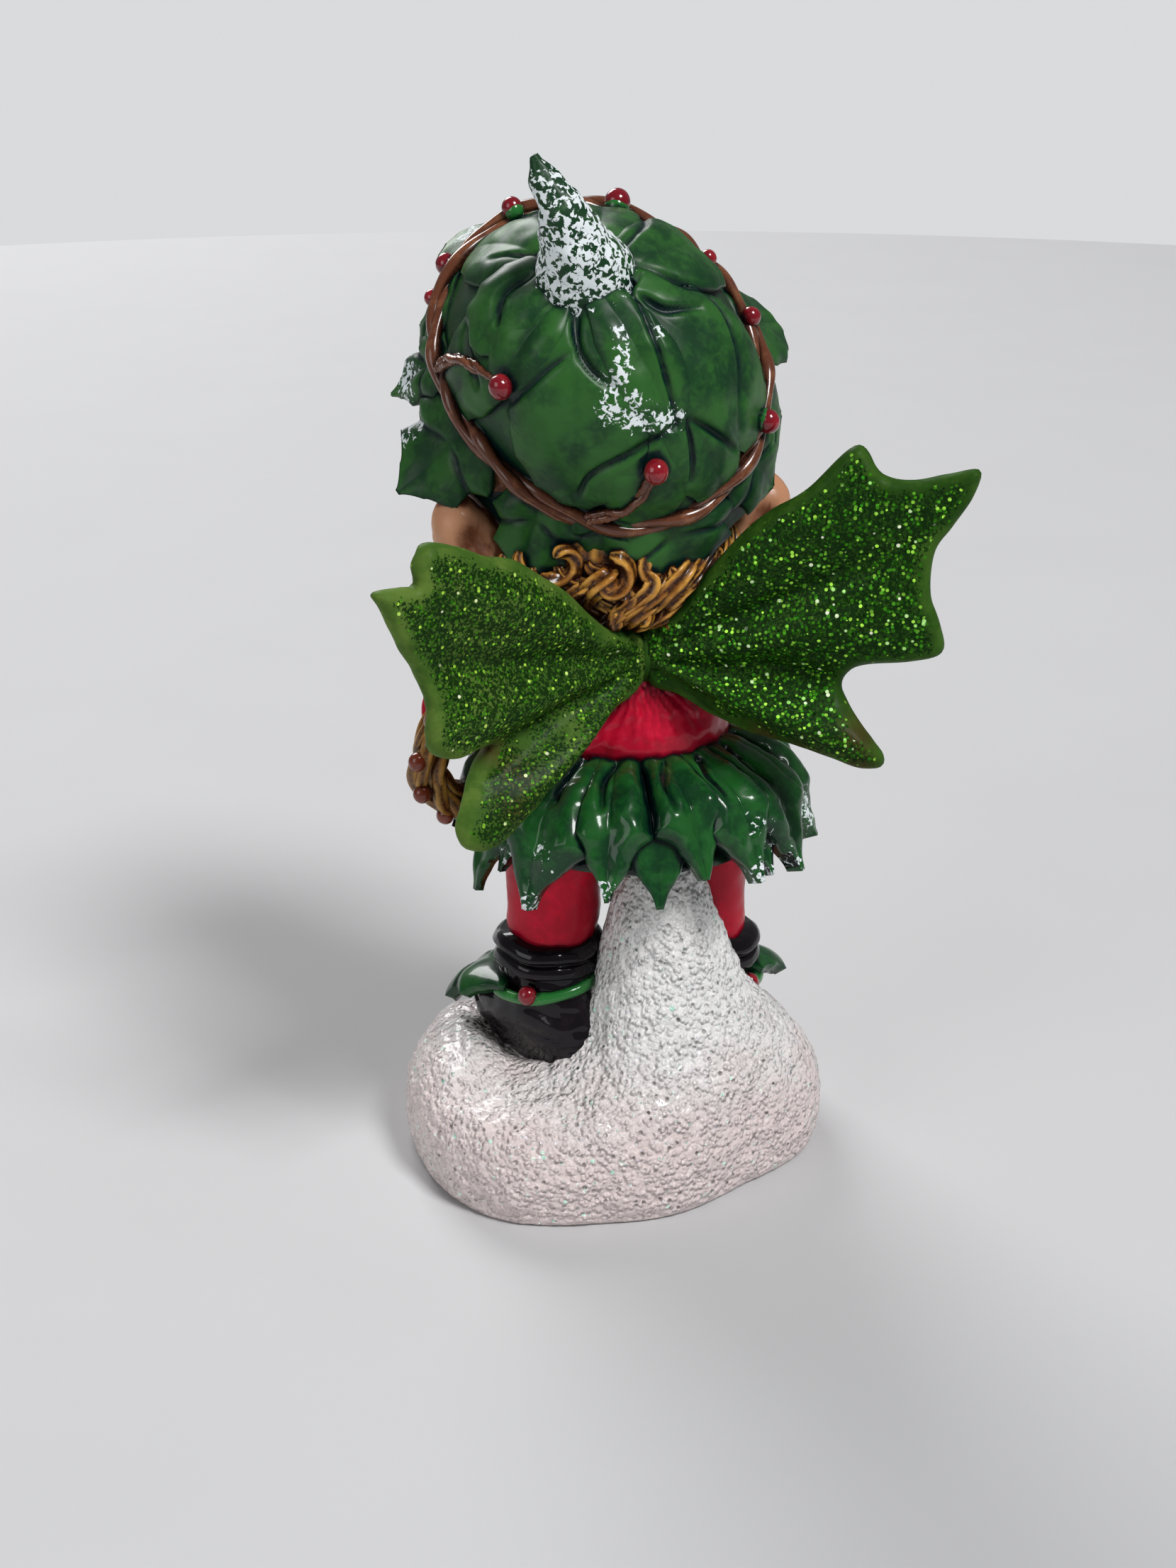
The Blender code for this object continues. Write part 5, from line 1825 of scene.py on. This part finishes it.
@dataclass
class Hat:
    """Hat of big holly leaves over a dome, a brim of leaves and a curved stem.

    A crown leaf is its root, its tip and its half width; a brim leaf is its angle,
    its length, its half width and its curl.
    """

    centre: Point = (2.55, 3.3, 115.3)
    turn: float = math.radians(12.0)
    lift: float = math.radians(34.0)
    radius: float = 20.2
    depth: float = 17.0
    slope: float = math.radians(72.0)
    reach: float = 27.0
    stem_tip: Point = (13.8, 15, 142.7)
    stem_radii: tuple[float, ...] = (7.2, 6.4, 5.5, 4.6, 3.7, 2.7, 1.7, 0.6)
    crown_leaves: tuple[tuple[Place, Place, float], ...] = (
        ((80, 6), (92, 25), 7), ((52, 7), (42, 25.5), 6.6), ((8, 6), (-16, 27.5), 7),
        ((117, 5), (136, 26.5), 7.6), ((-108, 11), (-103, 27), 6.6), ((-131, 9), (-130, 27), 6.2),
        ((165, 2.5), (-156, 26.5), 8.8), ((15, 3), (-79, 24.5), 9.6), ((12, 5), (-31, 16.5), 4.2),
        ((42, 8.5), (-9, 17), 5.2), ((60, 1), (-121, 16), 4.5),
    )
    crown_step: float = 0.34
    creases: tuple[Crease, ...] = (
        Crease(((5, 3.4), (-50, 5.4), (-74, 7.5), (-92, 9.1)), 0.5, 1.1),
        Crease(((151, 3.2), (-141, 6.4), (-128, 10.7), (-123, 15.1)), 0.4, 0.7),
        Crease(((-123, 15.1), (-100, 16.6), (-84, 19.3), (-80, 22.7)), 0.45, 0.9),
        Crease(((-32, 22.2), (-41, 14.8), (-46, 9.7), (-51, 7.3)), 0.45, 0.8),
        Crease(((27, 9.4), (12, 11.9), (-4, 12.7)), 0.5, 0.8),
        Crease(((35, 17.1), (44, 11.1), (40, 7.5)), 0.45, 0.7),
        Crease(((117, 6.5), (159, 10.5), (168, 13.6), (-168, 17.1), (-146, 21.2)), 0.5, 0.7),
        Crease(((164, 4.2), (-178, 6.8), (176, 11)), 0.45, 0.9),
        Crease(((-129, 14.5), (-124, 18.9), (-120, 22)), 0.4, 0.8),
        Crease(((-130, 15.6), (-136, 18.9), (-140, 22.9)), 0.45, 0.9),
        Crease(((3, 17.8), (-8, 18.6), (-22, 19.2)), 0.6, 0.9),
        Crease(((70, 9), (64, 14), (70, 20)), 0.5, 0.6),
        Crease(((104, 8), (112, 14), (108, 21)), 0.5, 0.6),
    )
    brim_leaves: tuple[tuple[float, float, float, float], ...] = (
        (64, 11, 8.5, 0.4), (90, 12, 8.5, 0), (116, 11.5, 8.5, 0), (141, 12, 8, 0),
        (160, 11.6, 7.8, 3.6), (-168, 8.6, 8, 0), (-146, 9.6, 7, 0), (-112, 11.8, 9.6, 0),
        (-89, 8, 6, 0), (-67, 12.4, 7.2, 3), (-27, 13.6, 10, 5.4), (3, 14.4, 5.4, 1.6),
        (24, 11, 7.5, 0.6), (50, 9.5, 6.6, 4),
    )
    round_leaves: tuple[float, ...] = (160, 50)

    def axes(self) -> tuple[Array, Array, Array]:
        """Right, up and outward axes of the hat, seen from behind along its own axis.

        Returns:
            Three unit vectors.
        """
        axis = direction(self.turn, self.lift)
        right = vec((math.cos(self.turn), -math.sin(self.turn), 0))
        return right, np.cross(right, axis), axis

    def swell(self, angle: Array) -> Array:
        """The rim isn't round: it is wider up and to the left than across."""
        return (-0.42 * np.cos(2 * angle) + 1.84 * np.sin(2 * angle)) / self.radius

    def crown_profile(self, reach: Array, angle: Array) -> tuple[Array, Array]:
        """Dome of the hat, from its top to a little past its rim.

        Args:
            reach: Places out from the middle of the flat sheet.
            angle: Their angles.

        Returns:
            The radius and the height.
        """
        polar = reach / self.reach * self.slope
        level = np.sin(polar) / math.sin(self.slope)
        radius = self.radius * (1 + self.swell(angle) * level**2) * level
        share = (np.cos(polar) - math.cos(self.slope)) / (1 - math.cos(self.slope))
        return radius, self.depth * share

    def brim_profile(self, reach: Array, angle: Array) -> tuple[Array, Array]:
        """Flare of the brim, from the twig ring towards the face.

        Args:
            reach: Places out from the middle of the flat sheet.
            angle: Their angles.

        Returns:
            The radius and the height.
        """
        past = reach - self.radius
        flare = 0.42 - 0.24 * np.sin(angle)
        radius = self.radius * (1 + self.swell(angle)) - 0.7 + flare * past
        return radius, 0.6 - np.sqrt(1 - flare**2) * past

    def crown(self) -> Turned:
        """The dome as a form to lay sheets over."""
        return Turned(vec(self.centre), *self.axes(), self.crown_profile)

    def brim(self) -> Turned:
        """The brim as a form to lay sheets over."""
        return Turned(vec(self.centre), *self.axes(), self.brim_profile)

    def build(self, casting: Casting) -> None:
        """Make the hat.

        Args:
            casting: Takes the pieces.
        """
        crown, brim = self.crown(), self.brim()
        shells = [self.dome(crown, brim)]
        for number, (root, tip, half_width) in enumerate(self.crown_leaves):
            leaf = Leaf(
                root, tip, half_width, thickness=0.7 + self.crown_step * number, belly=1.1, sink=1.2,
                cleft=0.45, shape=LeafShape.ROUND, rows=64, columns=57, creases=self.creases,
            )
            shells.append(leaf.shell(crown))
        for heading, length, half_width, curl in self.brim_leaves:
            shape = LeafShape.ROUND if heading in self.round_leaves else LeafShape.LONG
            root = (heading + 2, self.radius - 1)
            tip = (heading - 1.5, self.radius + length)
            leaf = Leaf(
                root, tip, half_width, thickness=1.4, belly=1.3, curl=curl, shape=shape, rows=44, columns=39,
            )
            shells.append(leaf.shell(brim))
        shell = joined(shells).lumpy(0.3, 5, 2, 11)
        shell.masks["snow"] = dusted(shell.points, self.snow(crown, brim))
        casting.add("hat", [shell], HAT_GREEN)
        stem = self.stem(crown)
        up = lengths(stem.points - crown.at(60, 5.5, 2))
        stem.masks["snow"] = clamp(1.2 - up / 34 + 0.35 * lumps(stem.points, 5, 2))
        casting.add("hat_stem", [stem], HAT_GREEN)

    def snow(self, crown: Turned, brim: Turned) -> list[tuple[Array, float]]:
        """Where white specks were dabbed on the hat.

        Args:
            crown: The dome's form.
            brim: The brim's form.

        Returns:
            Middle and radius of each patch.
        """
        strip = [(-112 + 2.2 * step, 3.4 + 0.9 * step, 1.5) for step in range(9)]
        dabs = [(-90 - 5.2 * step, 11.6 + 0.45 * step, 2.4) for step in range(7)]
        dabs += [(-91 - 5 * step, 9.8 + 0.3 * step, 1.9) for step in range(4)]
        dabs += [(-90 - 4 * step, 8.6, 1.8) for step in range(3)]
        patches = [(crown.at(degrees, reach, 2.8), size) for degrees, reach, size in strip + dabs]
        patches += [(crown.at(-150, 6.5, 2.8), 1.4), (crown.at(60, 5.5, 2), 6.5)]
        patches += [(brim.at(3, 30, 1.5), 4.5), (brim.at(-14, 30, 2), 3.6)]
        return patches + [(brim.at(52, 28, 2.5), 4)]

    def dome(self, crown: Turned, brim: Turned) -> Shell:
        """The plain dome and brim under the leaves.

        Args:
            crown: The dome's form.
            brim: The brim's form.

        Returns:
            The closed form.
        """
        angles = circle(120)[None, :]
        reach = np.linspace(0.02, 1, 40)[:, None] * self.reach
        top = crown.place(reach * np.cos(angles), reach * np.sin(angles), 0)
        edge = []
        for past, sink in ((2.5, -0.4), (6, -0.4), (8.6, -0.4), (9, -4.5)):
            out = self.radius + past
            edge.append(brim.place(out * np.cos(angles[0]), out * np.sin(angles[0]), sink))
        return loft(np.concatenate([top, np.array(edge)]))

    def stem(self, crown: Turned) -> Shell:
        """The horn-like stem: a wide foot on the crown and a thin tip that curves up.

        Args:
            crown: The dome's form.

        Returns:
            The closed form.
        """
        foot = crown.place(np.array(2.7), np.array(4.8), -2.5)
        knee = crown.place(np.array(2.9), np.array(5.4), 3)
        path = along_curve((foot, knee, knee + vec((2.4, 1.6, 5.2)), vec(self.stem_tip)), 60)
        return tube(path, blend(self.stem_radii, 60), 56).lumpy(0.4, 3.4, 3, 1)


@dataclass
class Twigs:
    """Ring of twisted twig round the crown, two short side twigs, and berries.

    A berry is its angle, its reach, its height over the crown, its radius, and
    whether a green calyx holds it.
    """

    hat: Hat
    thickness: float = 1.15
    turns: int = 6
    strands: int = 2
    side_twigs: tuple[tuple[Place, ...], ...] = (
        ((-3, 25.5), (-8, 20), (-32, 15.5)), ((-84, 26), (-98, 23.5), (-108, 19.5)),
    )
    berries: tuple[tuple[float, float, float, float, bool], ...] = (
        (62, 26, 2, 1.35, True), (97, 24, 1.6, 1.7, True), (136, 26, 1.6, 1.1, False),
        (164, 26, 1.6, 1.3, False), (-157, 25.6, 2.2, 1.5, True), (-108, 18.6, 3, 1.55, False),
        (-33, 15, 3, 1.5, False), (36, 28.4, 2, 1.4, False), (24, 28.2, 1.8, 1.1, False),
    )

    def build(self, casting: Casting) -> None:
        """Make the twigs and the berries.

        Args:
            casting: Takes the pieces.
        """
        crown = self.hat.crown()
        shells = self.ring(crown)
        for knots in self.side_twigs:
            path = along_curve([crown.at(degrees, reach, 1.6) for degrees, reach in knots], 40)
            shells += self.twisted(path, 0.34, 0.62, 1, False)
        casting.add("twig_ring", shells, TWIG_BROWN)
        red, green = [], []
        for degrees, reach, lift, radius, calyx in self.berries:
            spot = crown.at(degrees, reach, lift)
            red.append(berry(spot, radius))
            if calyx:
                out = unit(spot - vec(self.hat.centre))
                green.append(berry(spot - out * radius * 0.4, radius * 0.96))
        casting.add("hat_berries", red, BERRY_RED)
        casting.add("hat_berry_calyxes", green, BAND_GREEN)

    def ring(self, crown: Turned) -> list[Shell]:
        """The strands that wind round the crown.

        Args:
            crown: The hat's dome.

        Returns:
            One form for each strand.
        """
        angles = circle(420)
        reach = self.hat.reach - 0.2 + 0.4 * np.sin(3 * angles + 0.4)
        path = crown.place(reach * np.cos(angles), reach * np.sin(angles), 0.9)
        return self.twisted(path, 0.5 * self.thickness, 0.88 * self.thickness, self.turns, True)

    def twisted(self, path: Array, offset: float, radius: float, turns: int, closes: bool) -> list[Shell]:
        """Strands wound round a path.

        Args:
            path: The middle line of the twist.
            offset: How far each strand lies off it.
            radius: A strand's radius.
            turns: Windings along the whole path.
            closes: Whether the path is a ring.

        Returns:
            One form for each strand.
        """
        side, up = path_frames(path, closes)
        share = np.arange(len(path)) / (len(path) if closes else len(path) - 1)
        forms = []
        for strand in range(self.strands):
            angle = (TAU * (turns * share + strand / self.strands) + 0.7 * np.sin(TAU * 3 * share))[:, None]
            line = path + offset * (np.cos(angle) * side + np.sin(angle) * up)
            knots = 0.74 + 0.3 * np.sin(TAU * (7 + 2 * strand) * share + strand) ** 2
            forms.append(tube(line, radius * knots, 14, closes))
        return forms


@dataclass
class Wing:
    """A holly-leaf wing: a cushion over its outline, ribbed towards its tips.

    The outline is an angle above level in degrees and a reach from the root; a rib
    is an angle, a width in degrees and a height.  A bare place has no glitter and a
    brown one has brown paint: each is an angle, a reach and a size.
    """

    side: Side
    outline: tuple[Place, ...]
    ribs: tuple[Point, ...]
    creases: tuple[Crease, ...]
    bare: tuple[Point, ...]
    brown: tuple[Point, ...]
    paint: GlitterPaint
    root: Point = (-1.5, 10.6, 78)
    sweep: float = math.radians(27.0)
    thickness: float = 3.0
    web: float = 1.0
    span: float = 46.0
    step: float = 0.75
    edge_round: float = 1.3
    insets: tuple[float, ...] = (0.08, 0.25, 0.55, 0.95, 1.4)

    def lift(self, spots: Array) -> Array:
        """Rise of the wing's face over the flat.

        Args:
            spots: Flat places.

        Returns:
            The heights.
        """
        reach = np.hypot(spots[:, 0], spots[:, 1])
        angle = np.degrees(np.arctan2(spots[:, 1], spots[:, 0]))
        rib = np.max([rise * bell(angle - middle, width) for middle, width, rise in self.ribs], axis=0)
        arch = np.sin(np.pi * np.minimum(reach / self.span, 1))
        streaks = lumps(stacked(angle / 3, reach / 14, np.zeros(len(spots))), 1, 2, 3)
        pressed = sum(crease.depth * crease.press(spots) for crease in self.creases)
        return (rib - self.web) * arch + 0.3 * streaks - pressed

    def border(self) -> Array:
        """The outline as a smooth curve at a fine step.

        Returns:
            Its places, one row each.
        """
        corners = [(r * math.cos(math.radians(a)), r * math.sin(math.radians(a))) for a, r in self.outline]
        curve = along_curve(corners, 30 * len(corners), True)
        gaps = lengths(np.roll(curve, -1, axis=0) - curve)
        length = np.concatenate([[0], np.cumsum(gaps)[:-1]])
        count = int(gaps.sum() / (self.step * 0.8))
        places = np.linspace(0, gaps.sum(), count, endpoint=False)
        return stacked(*(np.interp(places, length, column) for column in curve.T))

    @staticmethod
    def gap(spots: Array, border: Array) -> Array:
        """Distance of each spot to the border; negative outside.

        Args:
            spots: Flat places.
            border: The outline's places.

        Returns:
            The distances.
        """
        starts, spans = border[None], (np.roll(border, -1, axis=0) - border)[None]
        offsets = spots[:, None] - starts
        share = clamp((offsets * spans).sum(axis=2) / (spans**2).sum(axis=2))
        nearest = lengths(offsets - spans * share[..., None]).min(axis=1)
        ends = starts + spans
        crossing = (starts[..., 1] > spots[:, None, 1]) != (ends[..., 1] > spots[:, None, 1])
        slope = np.where(spans[..., 1] == 0, 1e-9, spans[..., 1])
        meets = starts[..., 0] + (spots[:, None, 1] - starts[..., 1]) / slope * spans[..., 0]
        inside = (crossing & (spots[:, None, 0] < meets)).sum(axis=1) % 2 == 1
        return np.where(inside, nearest, -nearest)

    def spots(self, border: Array) -> Array:
        """Places inside the border: rows that follow it, then an even grid.

        Args:
            border: The outline's places.

        Returns:
            Flat places, one row each.
        """
        after, before = np.roll(border, -1, axis=0), np.roll(border, 1, axis=0)
        way = unit(after - before)
        inward = stacked(way[:, 1], -way[:, 0])
        inner = []
        for inset in self.insets:
            row = border + inward * inset
            inner.append(row[self.gap(row, border) > 0.9 * inset])
        reach = max(length for _, length in self.outline)
        row_gap = self.step * math.sin(math.radians(60))
        rows = np.arange(-math.ceil(reach / row_gap), math.ceil(reach / row_gap))
        cols = np.arange(math.ceil(reach / self.step))
        grid_row, grid_col = np.meshgrid(rows, cols, indexing="ij")
        x = (grid_col * self.step + (grid_row % 2) * self.step / 2).reshape(-1)
        grid = stacked(x, (grid_row * row_gap).reshape(-1))
        inner.append(grid[self.gap(grid, border) > self.insets[-1] + self.step * 0.6])
        return np.concatenate(inner)

    def build(self, casting: Casting) -> None:
        """Make the wing.

        Args:
            casting: Takes the pieces.
        """
        border = self.border()
        inner = self.spots(border)
        flat = [Vector(spot) for spot in np.concatenate([border, inner])]
        edges = [(k, (k + 1) % len(border)) for k in range(len(border))]
        made, _, triangles, _, _, _ = delaunay_2d_cdt(flat, edges, [], 1, 0.00001)
        spots = np.array([tuple(spot) for spot in made])
        gap = np.maximum(self.gap(spots, border), 0)
        rim = gap < 0.001
        sign = self.side.value
        outward = vec((sign * math.cos(self.sweep), math.sin(self.sweep), 0))
        facing = vec((-sign * math.sin(self.sweep), math.cos(self.sweep), 0))
        middle = vec(self.root) + spots[:, :1] * outward + spots[:, 1:] * vec((0, 0, 1))
        middle = middle + self.lift(spots)[:, None] * facing
        part = np.minimum(gap / self.edge_round, 1)
        half = (self.thickness / 2 * np.sqrt(1 - (1 - part) ** 2))[:, None]
        count = len(spots)
        back = np.where(rim, np.arange(count), count + np.cumsum(~rim) - 1)
        points = np.concatenate([middle + facing * half, (middle - facing * half)[~rim]])
        faces = [tuple(triangle) for triangle in triangles]
        faces += [tuple(int(back[corner]) for corner in reversed(triangle)) for triangle in triangles]
        # fold darkens the creases with painted shade and the dark wash; crest lightens the rim, the wing's
        # lighter edge paint.
        masks = {
            "gilt": self.gilt(spots, gap),
            "crest": bell(gap, 1.6),
            "tip": self.near_places(spots, self.brown),
            "fold": 0.8 * sum(crease.press(spots) for crease in self.creases),
        }
        both = np.concatenate([np.arange(count), np.flatnonzero(~rim)])
        form = Shell(points, faces, {name: mask[both] for name, mask in masks.items()})
        if volume(form) < 0:
            form.faces = [face[::-1] for face in form.faces]
        casting.add(f"wing_{self.side.name.lower()}", [form], self.paint)

    def gilt(self, spots: Array, gap: Array) -> Array:
        """How thickly glitter lies: none along the edge and little on the bare places."""
        return clamp((gap - 0.7) / 1.4) * (1 - 0.85 * self.near_places(spots, self.bare))

    @staticmethod
    def near_places(spots: Array, places: Sequence[Point]) -> Array:
        """How near spots are to places on the wing, from 0 to 1.

        Args:
            spots: Flat places.
            places: An angle, a reach and a size each.

        Returns:
            One value for each spot.
        """
        near = np.zeros(len(spots))
        for degrees, reach, size in places:
            near = np.maximum(near, bell(lengths(spots - flat_place(degrees, reach)), size))
        return near


RIGHT_WING = Wing(
    Side.RIGHT,
    (
        (97, 3.7), (63, 7.6), (56, 14.7), (54, 22.2), (52, 26.7), (49, 32), (48, 40.1),
        (41, 40.1), (37, 42.7), (35, 46.3), (33, 50.1), (30, 47.9), (27, 44), (24, 40.7),
        (17, 38.7), (10, 39.2), (5, 39), (3, 35), (2, 29.7), (0, 27.4), (-5, 26.3),
        (-10, 28), (-15, 31.8), (-18, 34.1), (-21, 34.2), (-24, 31.4), (-25, 28.1),
        (-28, 23.2), (-34, 17.9), (-40, 12.1), (-48, 7), (-80, 3.5),
    ),
    ((43, 14, 3.4), (14, 11, 2.8), (-18, 7.5, 4.6)),
    (
        Crease(((3, 15), (-1, 20), (-3, 25)), 1.1, 0.9),
        Crease(((-34, 6), (-36, 11), (-33, 16)), 0.6, 0.5),
        Crease(((-22, 5), (-27, 12), (-26, 19)), 0.6, 0.5),
        Crease(((36, 9), (28, 20), (28, 34)), 0.9, 0.4),
    ),
    ((-36, 10, 3), (-31, 17, 2.4), (-40, 6, 3), (46, 35, 1.6)),
    ((-15, 30, 2.6), (-26, 25, 2.6), (-22, 31.5, 2), (-30, 19, 2)),
    SHADED_RIGHT_GLITTER,
)
LEFT_WING = Wing(
    Side.LEFT,
    (
        (74, 3.5), (38, 8.9), (38, 12.6), (40, 18.5), (39, 23.5), (38, 28.9), (35, 33.6),
        (34, 37.6), (32, 42), (28, 42.6), (25, 41.5), (24, 43.1), (22, 46.7), (20, 45.1),
        (15, 41.6), (9, 37.8), (3, 36.3), (-2, 36.7), (-7, 36.1), (-11, 32.6), (-11.6, 29.3),
        (-13, 26.7), (-16, 29.2), (-19, 31.1), (-24, 35.6), (-26, 36.6), (-29, 36.7),
        (-33, 34.7), (-37, 31.1), (-40, 26.1), (-42, 21.4), (-47, 14.6), (-50, 8.6), (-80, 3.5),
    ),
    ((28, 13, 3.4), (-2, 9, 2.8), (-29, 7.5, 4.6)),
    (
        Crease(((-13, 26), (-13, 20), (-9, 13)), 1.1, 0.9),
        Crease(((-40, 24), (-39, 15), (-34, 8)), 0.6, 0.6),
        Crease(((-35, 20), (-33, 13), (-28, 7)), 0.6, 0.4),
        Crease(((12, 36), (12, 24), (18, 12)), 0.9, 0.4),
    ),
    (
        (-44, 10, 2.6), (-43, 15, 2.4), (-41, 20, 2.2), (-39, 25, 2), (-16, 22, 2.2),
        (-20, 16, 2), (32, 11, 2), (-36, 30, 1.8),
    ),
    ((-22, 26, 2.4), (-27, 29, 2.2), (-14, 27, 2), (-36, 20, 1.6)),
    LEFT_GLITTER,
)


@dataclass
class Wreath:
    """The vine wreath in the left hand, with berries on its outer side."""

    centre: Point = (18.4, -5.6, 60.4)
    radius: float = 7.8
    tube_radius: float = 2.8
    strands: int = 7
    vine_radius: float = 1.15
    berries: tuple[float, ...] = (40, 5, -25, 75, -60)
    berry_radius: float = 1.3

    def build(self, casting: Casting) -> None:
        """Make the wreath.

        Args:
            casting: Takes the pieces.
        """
        facing = unit((0.4, -0.9, 0.1))
        right = unit(np.cross(facing, (0, 0, 1)))
        up = np.cross(right, facing)
        angles = circle(220)[:, None]
        ring = vec(self.centre) + self.radius * (np.cos(angles) * right + np.sin(angles) * up)
        side, other = path_frames(ring, True)
        vines = [tube(ring, 1.5, 20, True)]
        for strand in range(self.strands):
            turns = 2 if strand % 2 else 1
            angle = turns * angles + TAU * strand / self.strands + 0.7 * np.sin(3 * angles + strand)
            reach = 1.55 + 0.3 * np.sin(4 * angles + 1.7 * strand)
            line = ring + reach * (np.cos(angle) * side + np.sin(angle) * other)
            radii = self.vine_radius + 0.15 * np.sin(5 * angles[:, 0] + strand)
            vines.append(tube(line, radii, 14, True, Flutes(4, 0.12, 2)))
        casting.add("wreath", vines, VINE_BROWN)
        red = []
        for degrees in self.berries:
            angle = math.radians(degrees)
            reach = self.radius + self.tube_radius * 0.8
            spot = vec(self.centre) - reach * math.cos(angle) * right + reach * math.sin(angle) * up
            red.append(berry(spot - facing * 0.8, self.berry_radius))
        casting.add("wreath_berries", red, BERRY_BROWN)


@dataclass
class Studio:
    """A pale floor, soft lamps and a camera at the photograph's place, in metres."""

    camera_at: Point = (0.07296, 0.2723, 0.17261)
    camera_looks: Point = (-0.22867, -0.89464, -0.38384)
    lens: float = 50.0
    sensor: float = 36.0
    clip_start: float = 0.001
    aim: Point = (0, 0, 0.07)
    lamps: tuple[tuple[str, Point, float, float], ...] = (
        ("key_lamp", (-0.66, 1.2, 1.8), 0.6, 38),
        ("fill_lamp", (1.5, 0.8, 0.8), 1, 6.5),
        ("front_lamp", (0.3, -1.6, 1.2), 1, 24),
    )
    floor_colour: Colour = (0.58, 0.58, 0.59)
    floor_roughness: float = 0.8
    floor_radius: float = 0.9
    backdrop: float = 0.72
    surroundings: float = 0.16

    def build(self) -> None:
        """Set up the camera, the floor, the lamps and the world."""
        self.camera()
        self.floor()
        for lamp in self.lamps:
            self.lamp(*lamp)
        self.world()
        bpy.context.scene.view_settings.view_transform = "Standard"

    def camera(self) -> None:
        """The camera, level from side to side."""
        looks = unit(self.camera_looks)
        right = unit(np.cross(looks, (0, 0, 1)))
        up = np.cross(right, looks)
        data = bpy.data.cameras.new("photo_camera")
        data.lens = self.lens
        data.sensor_width = self.sensor
        data.clip_start = self.clip_start
        camera = link("photo_camera", data)
        turn = Matrix((right, up, -looks)).transposed().to_4x4()
        camera.matrix_world = Matrix.Translation(self.camera_at) @ turn
        bpy.context.scene.camera = camera

    def floor(self) -> None:
        """A wide pale floor with a faint grain."""
        shape = bmesh.new()
        bmesh.ops.create_circle(shape, cap_ends=True, segments=96, radius=self.floor_radius)
        mesh = bpy.data.meshes.new("floor")
        shape.to_mesh(mesh)
        shape.free()
        floor = link("floor", mesh)
        graph = Graph("floor_matt")
        tone = graph.mix(self.floor_colour, vec(self.floor_colour) * 0.96, graph.cloud(40))
        graph.feed(graph.shader.inputs["Base Color"], tone)
        graph.shader.inputs["Roughness"].default_value = self.floor_roughness
        mesh.materials.append(graph.material)

    def lamp(self, name: str, place: Point, size: float, power: float) -> None:
        """A square lamp that points at the figure.

        Args:
            name: The lamp's name.
            place: Where it hangs, in metres.
            size: Its side in metres.
            power: Its power in watts.
        """
        data = bpy.data.lights.new(name, "AREA")
        data.size = size
        data.energy = power
        lamp = link(name, data)
        lamp.location = place
        lamp.rotation_euler = (Vector(self.aim) - Vector(place)).to_track_quat("-Z", "Y").to_euler()

    def world(self) -> None:
        """Weak light from all round, and a pale backdrop to the camera."""
        world = bpy.data.worlds.new("studio")
        world.use_nodes = True
        bpy.context.scene.world = world
        tree = world.node_tree
        background = tree.nodes["Background"]
        background.inputs["Color"].default_value = (0.97, 0.98, 1, 1)
        seen = tree.nodes.new("ShaderNodeLightPath").outputs["Is Camera Ray"]
        level = tree.nodes.new("ShaderNodeMapRange")
        level.inputs["To Min"].default_value = self.surroundings
        level.inputs["To Max"].default_value = self.backdrop
        tree.links.new(seen, level.inputs["Value"])
        tree.links.new(level.outputs[0], background.inputs["Strength"])


def main() -> None:
    """Build the figure in its own order and report each piece."""
    logging.basicConfig(level=logging.INFO, format="%(name)s %(message)s")
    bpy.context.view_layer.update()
    casting = Casting()
    SnowBase().build(casting)
    Leg(Side.LEFT, (8.4, 1.2), 16.6).build(casting)
    Leg(Side.RIGHT, (-13.4, -1), 13.2).build(casting)
    Skirt().build(casting)
    Jacket().build(casting)
    Hands().build(casting)
    head = Head()
    head.build(casting)
    Hair(head).build(casting)
    hat = Hat()
    hat.build(casting)
    Twigs(hat).build(casting)
    RIGHT_WING.build(casting)
    LEFT_WING.build(casting)
    casting.add("wing_joint", [ball((-1.5, 9.2, 78), (3.2, 3.4, 4.2), 40, 30)], SHADED_RIGHT_GLITTER)
    Wreath().build(casting)
    casting.paint_wash_and_shade()
    Studio().build()


if __name__ == "__main__":
    main()
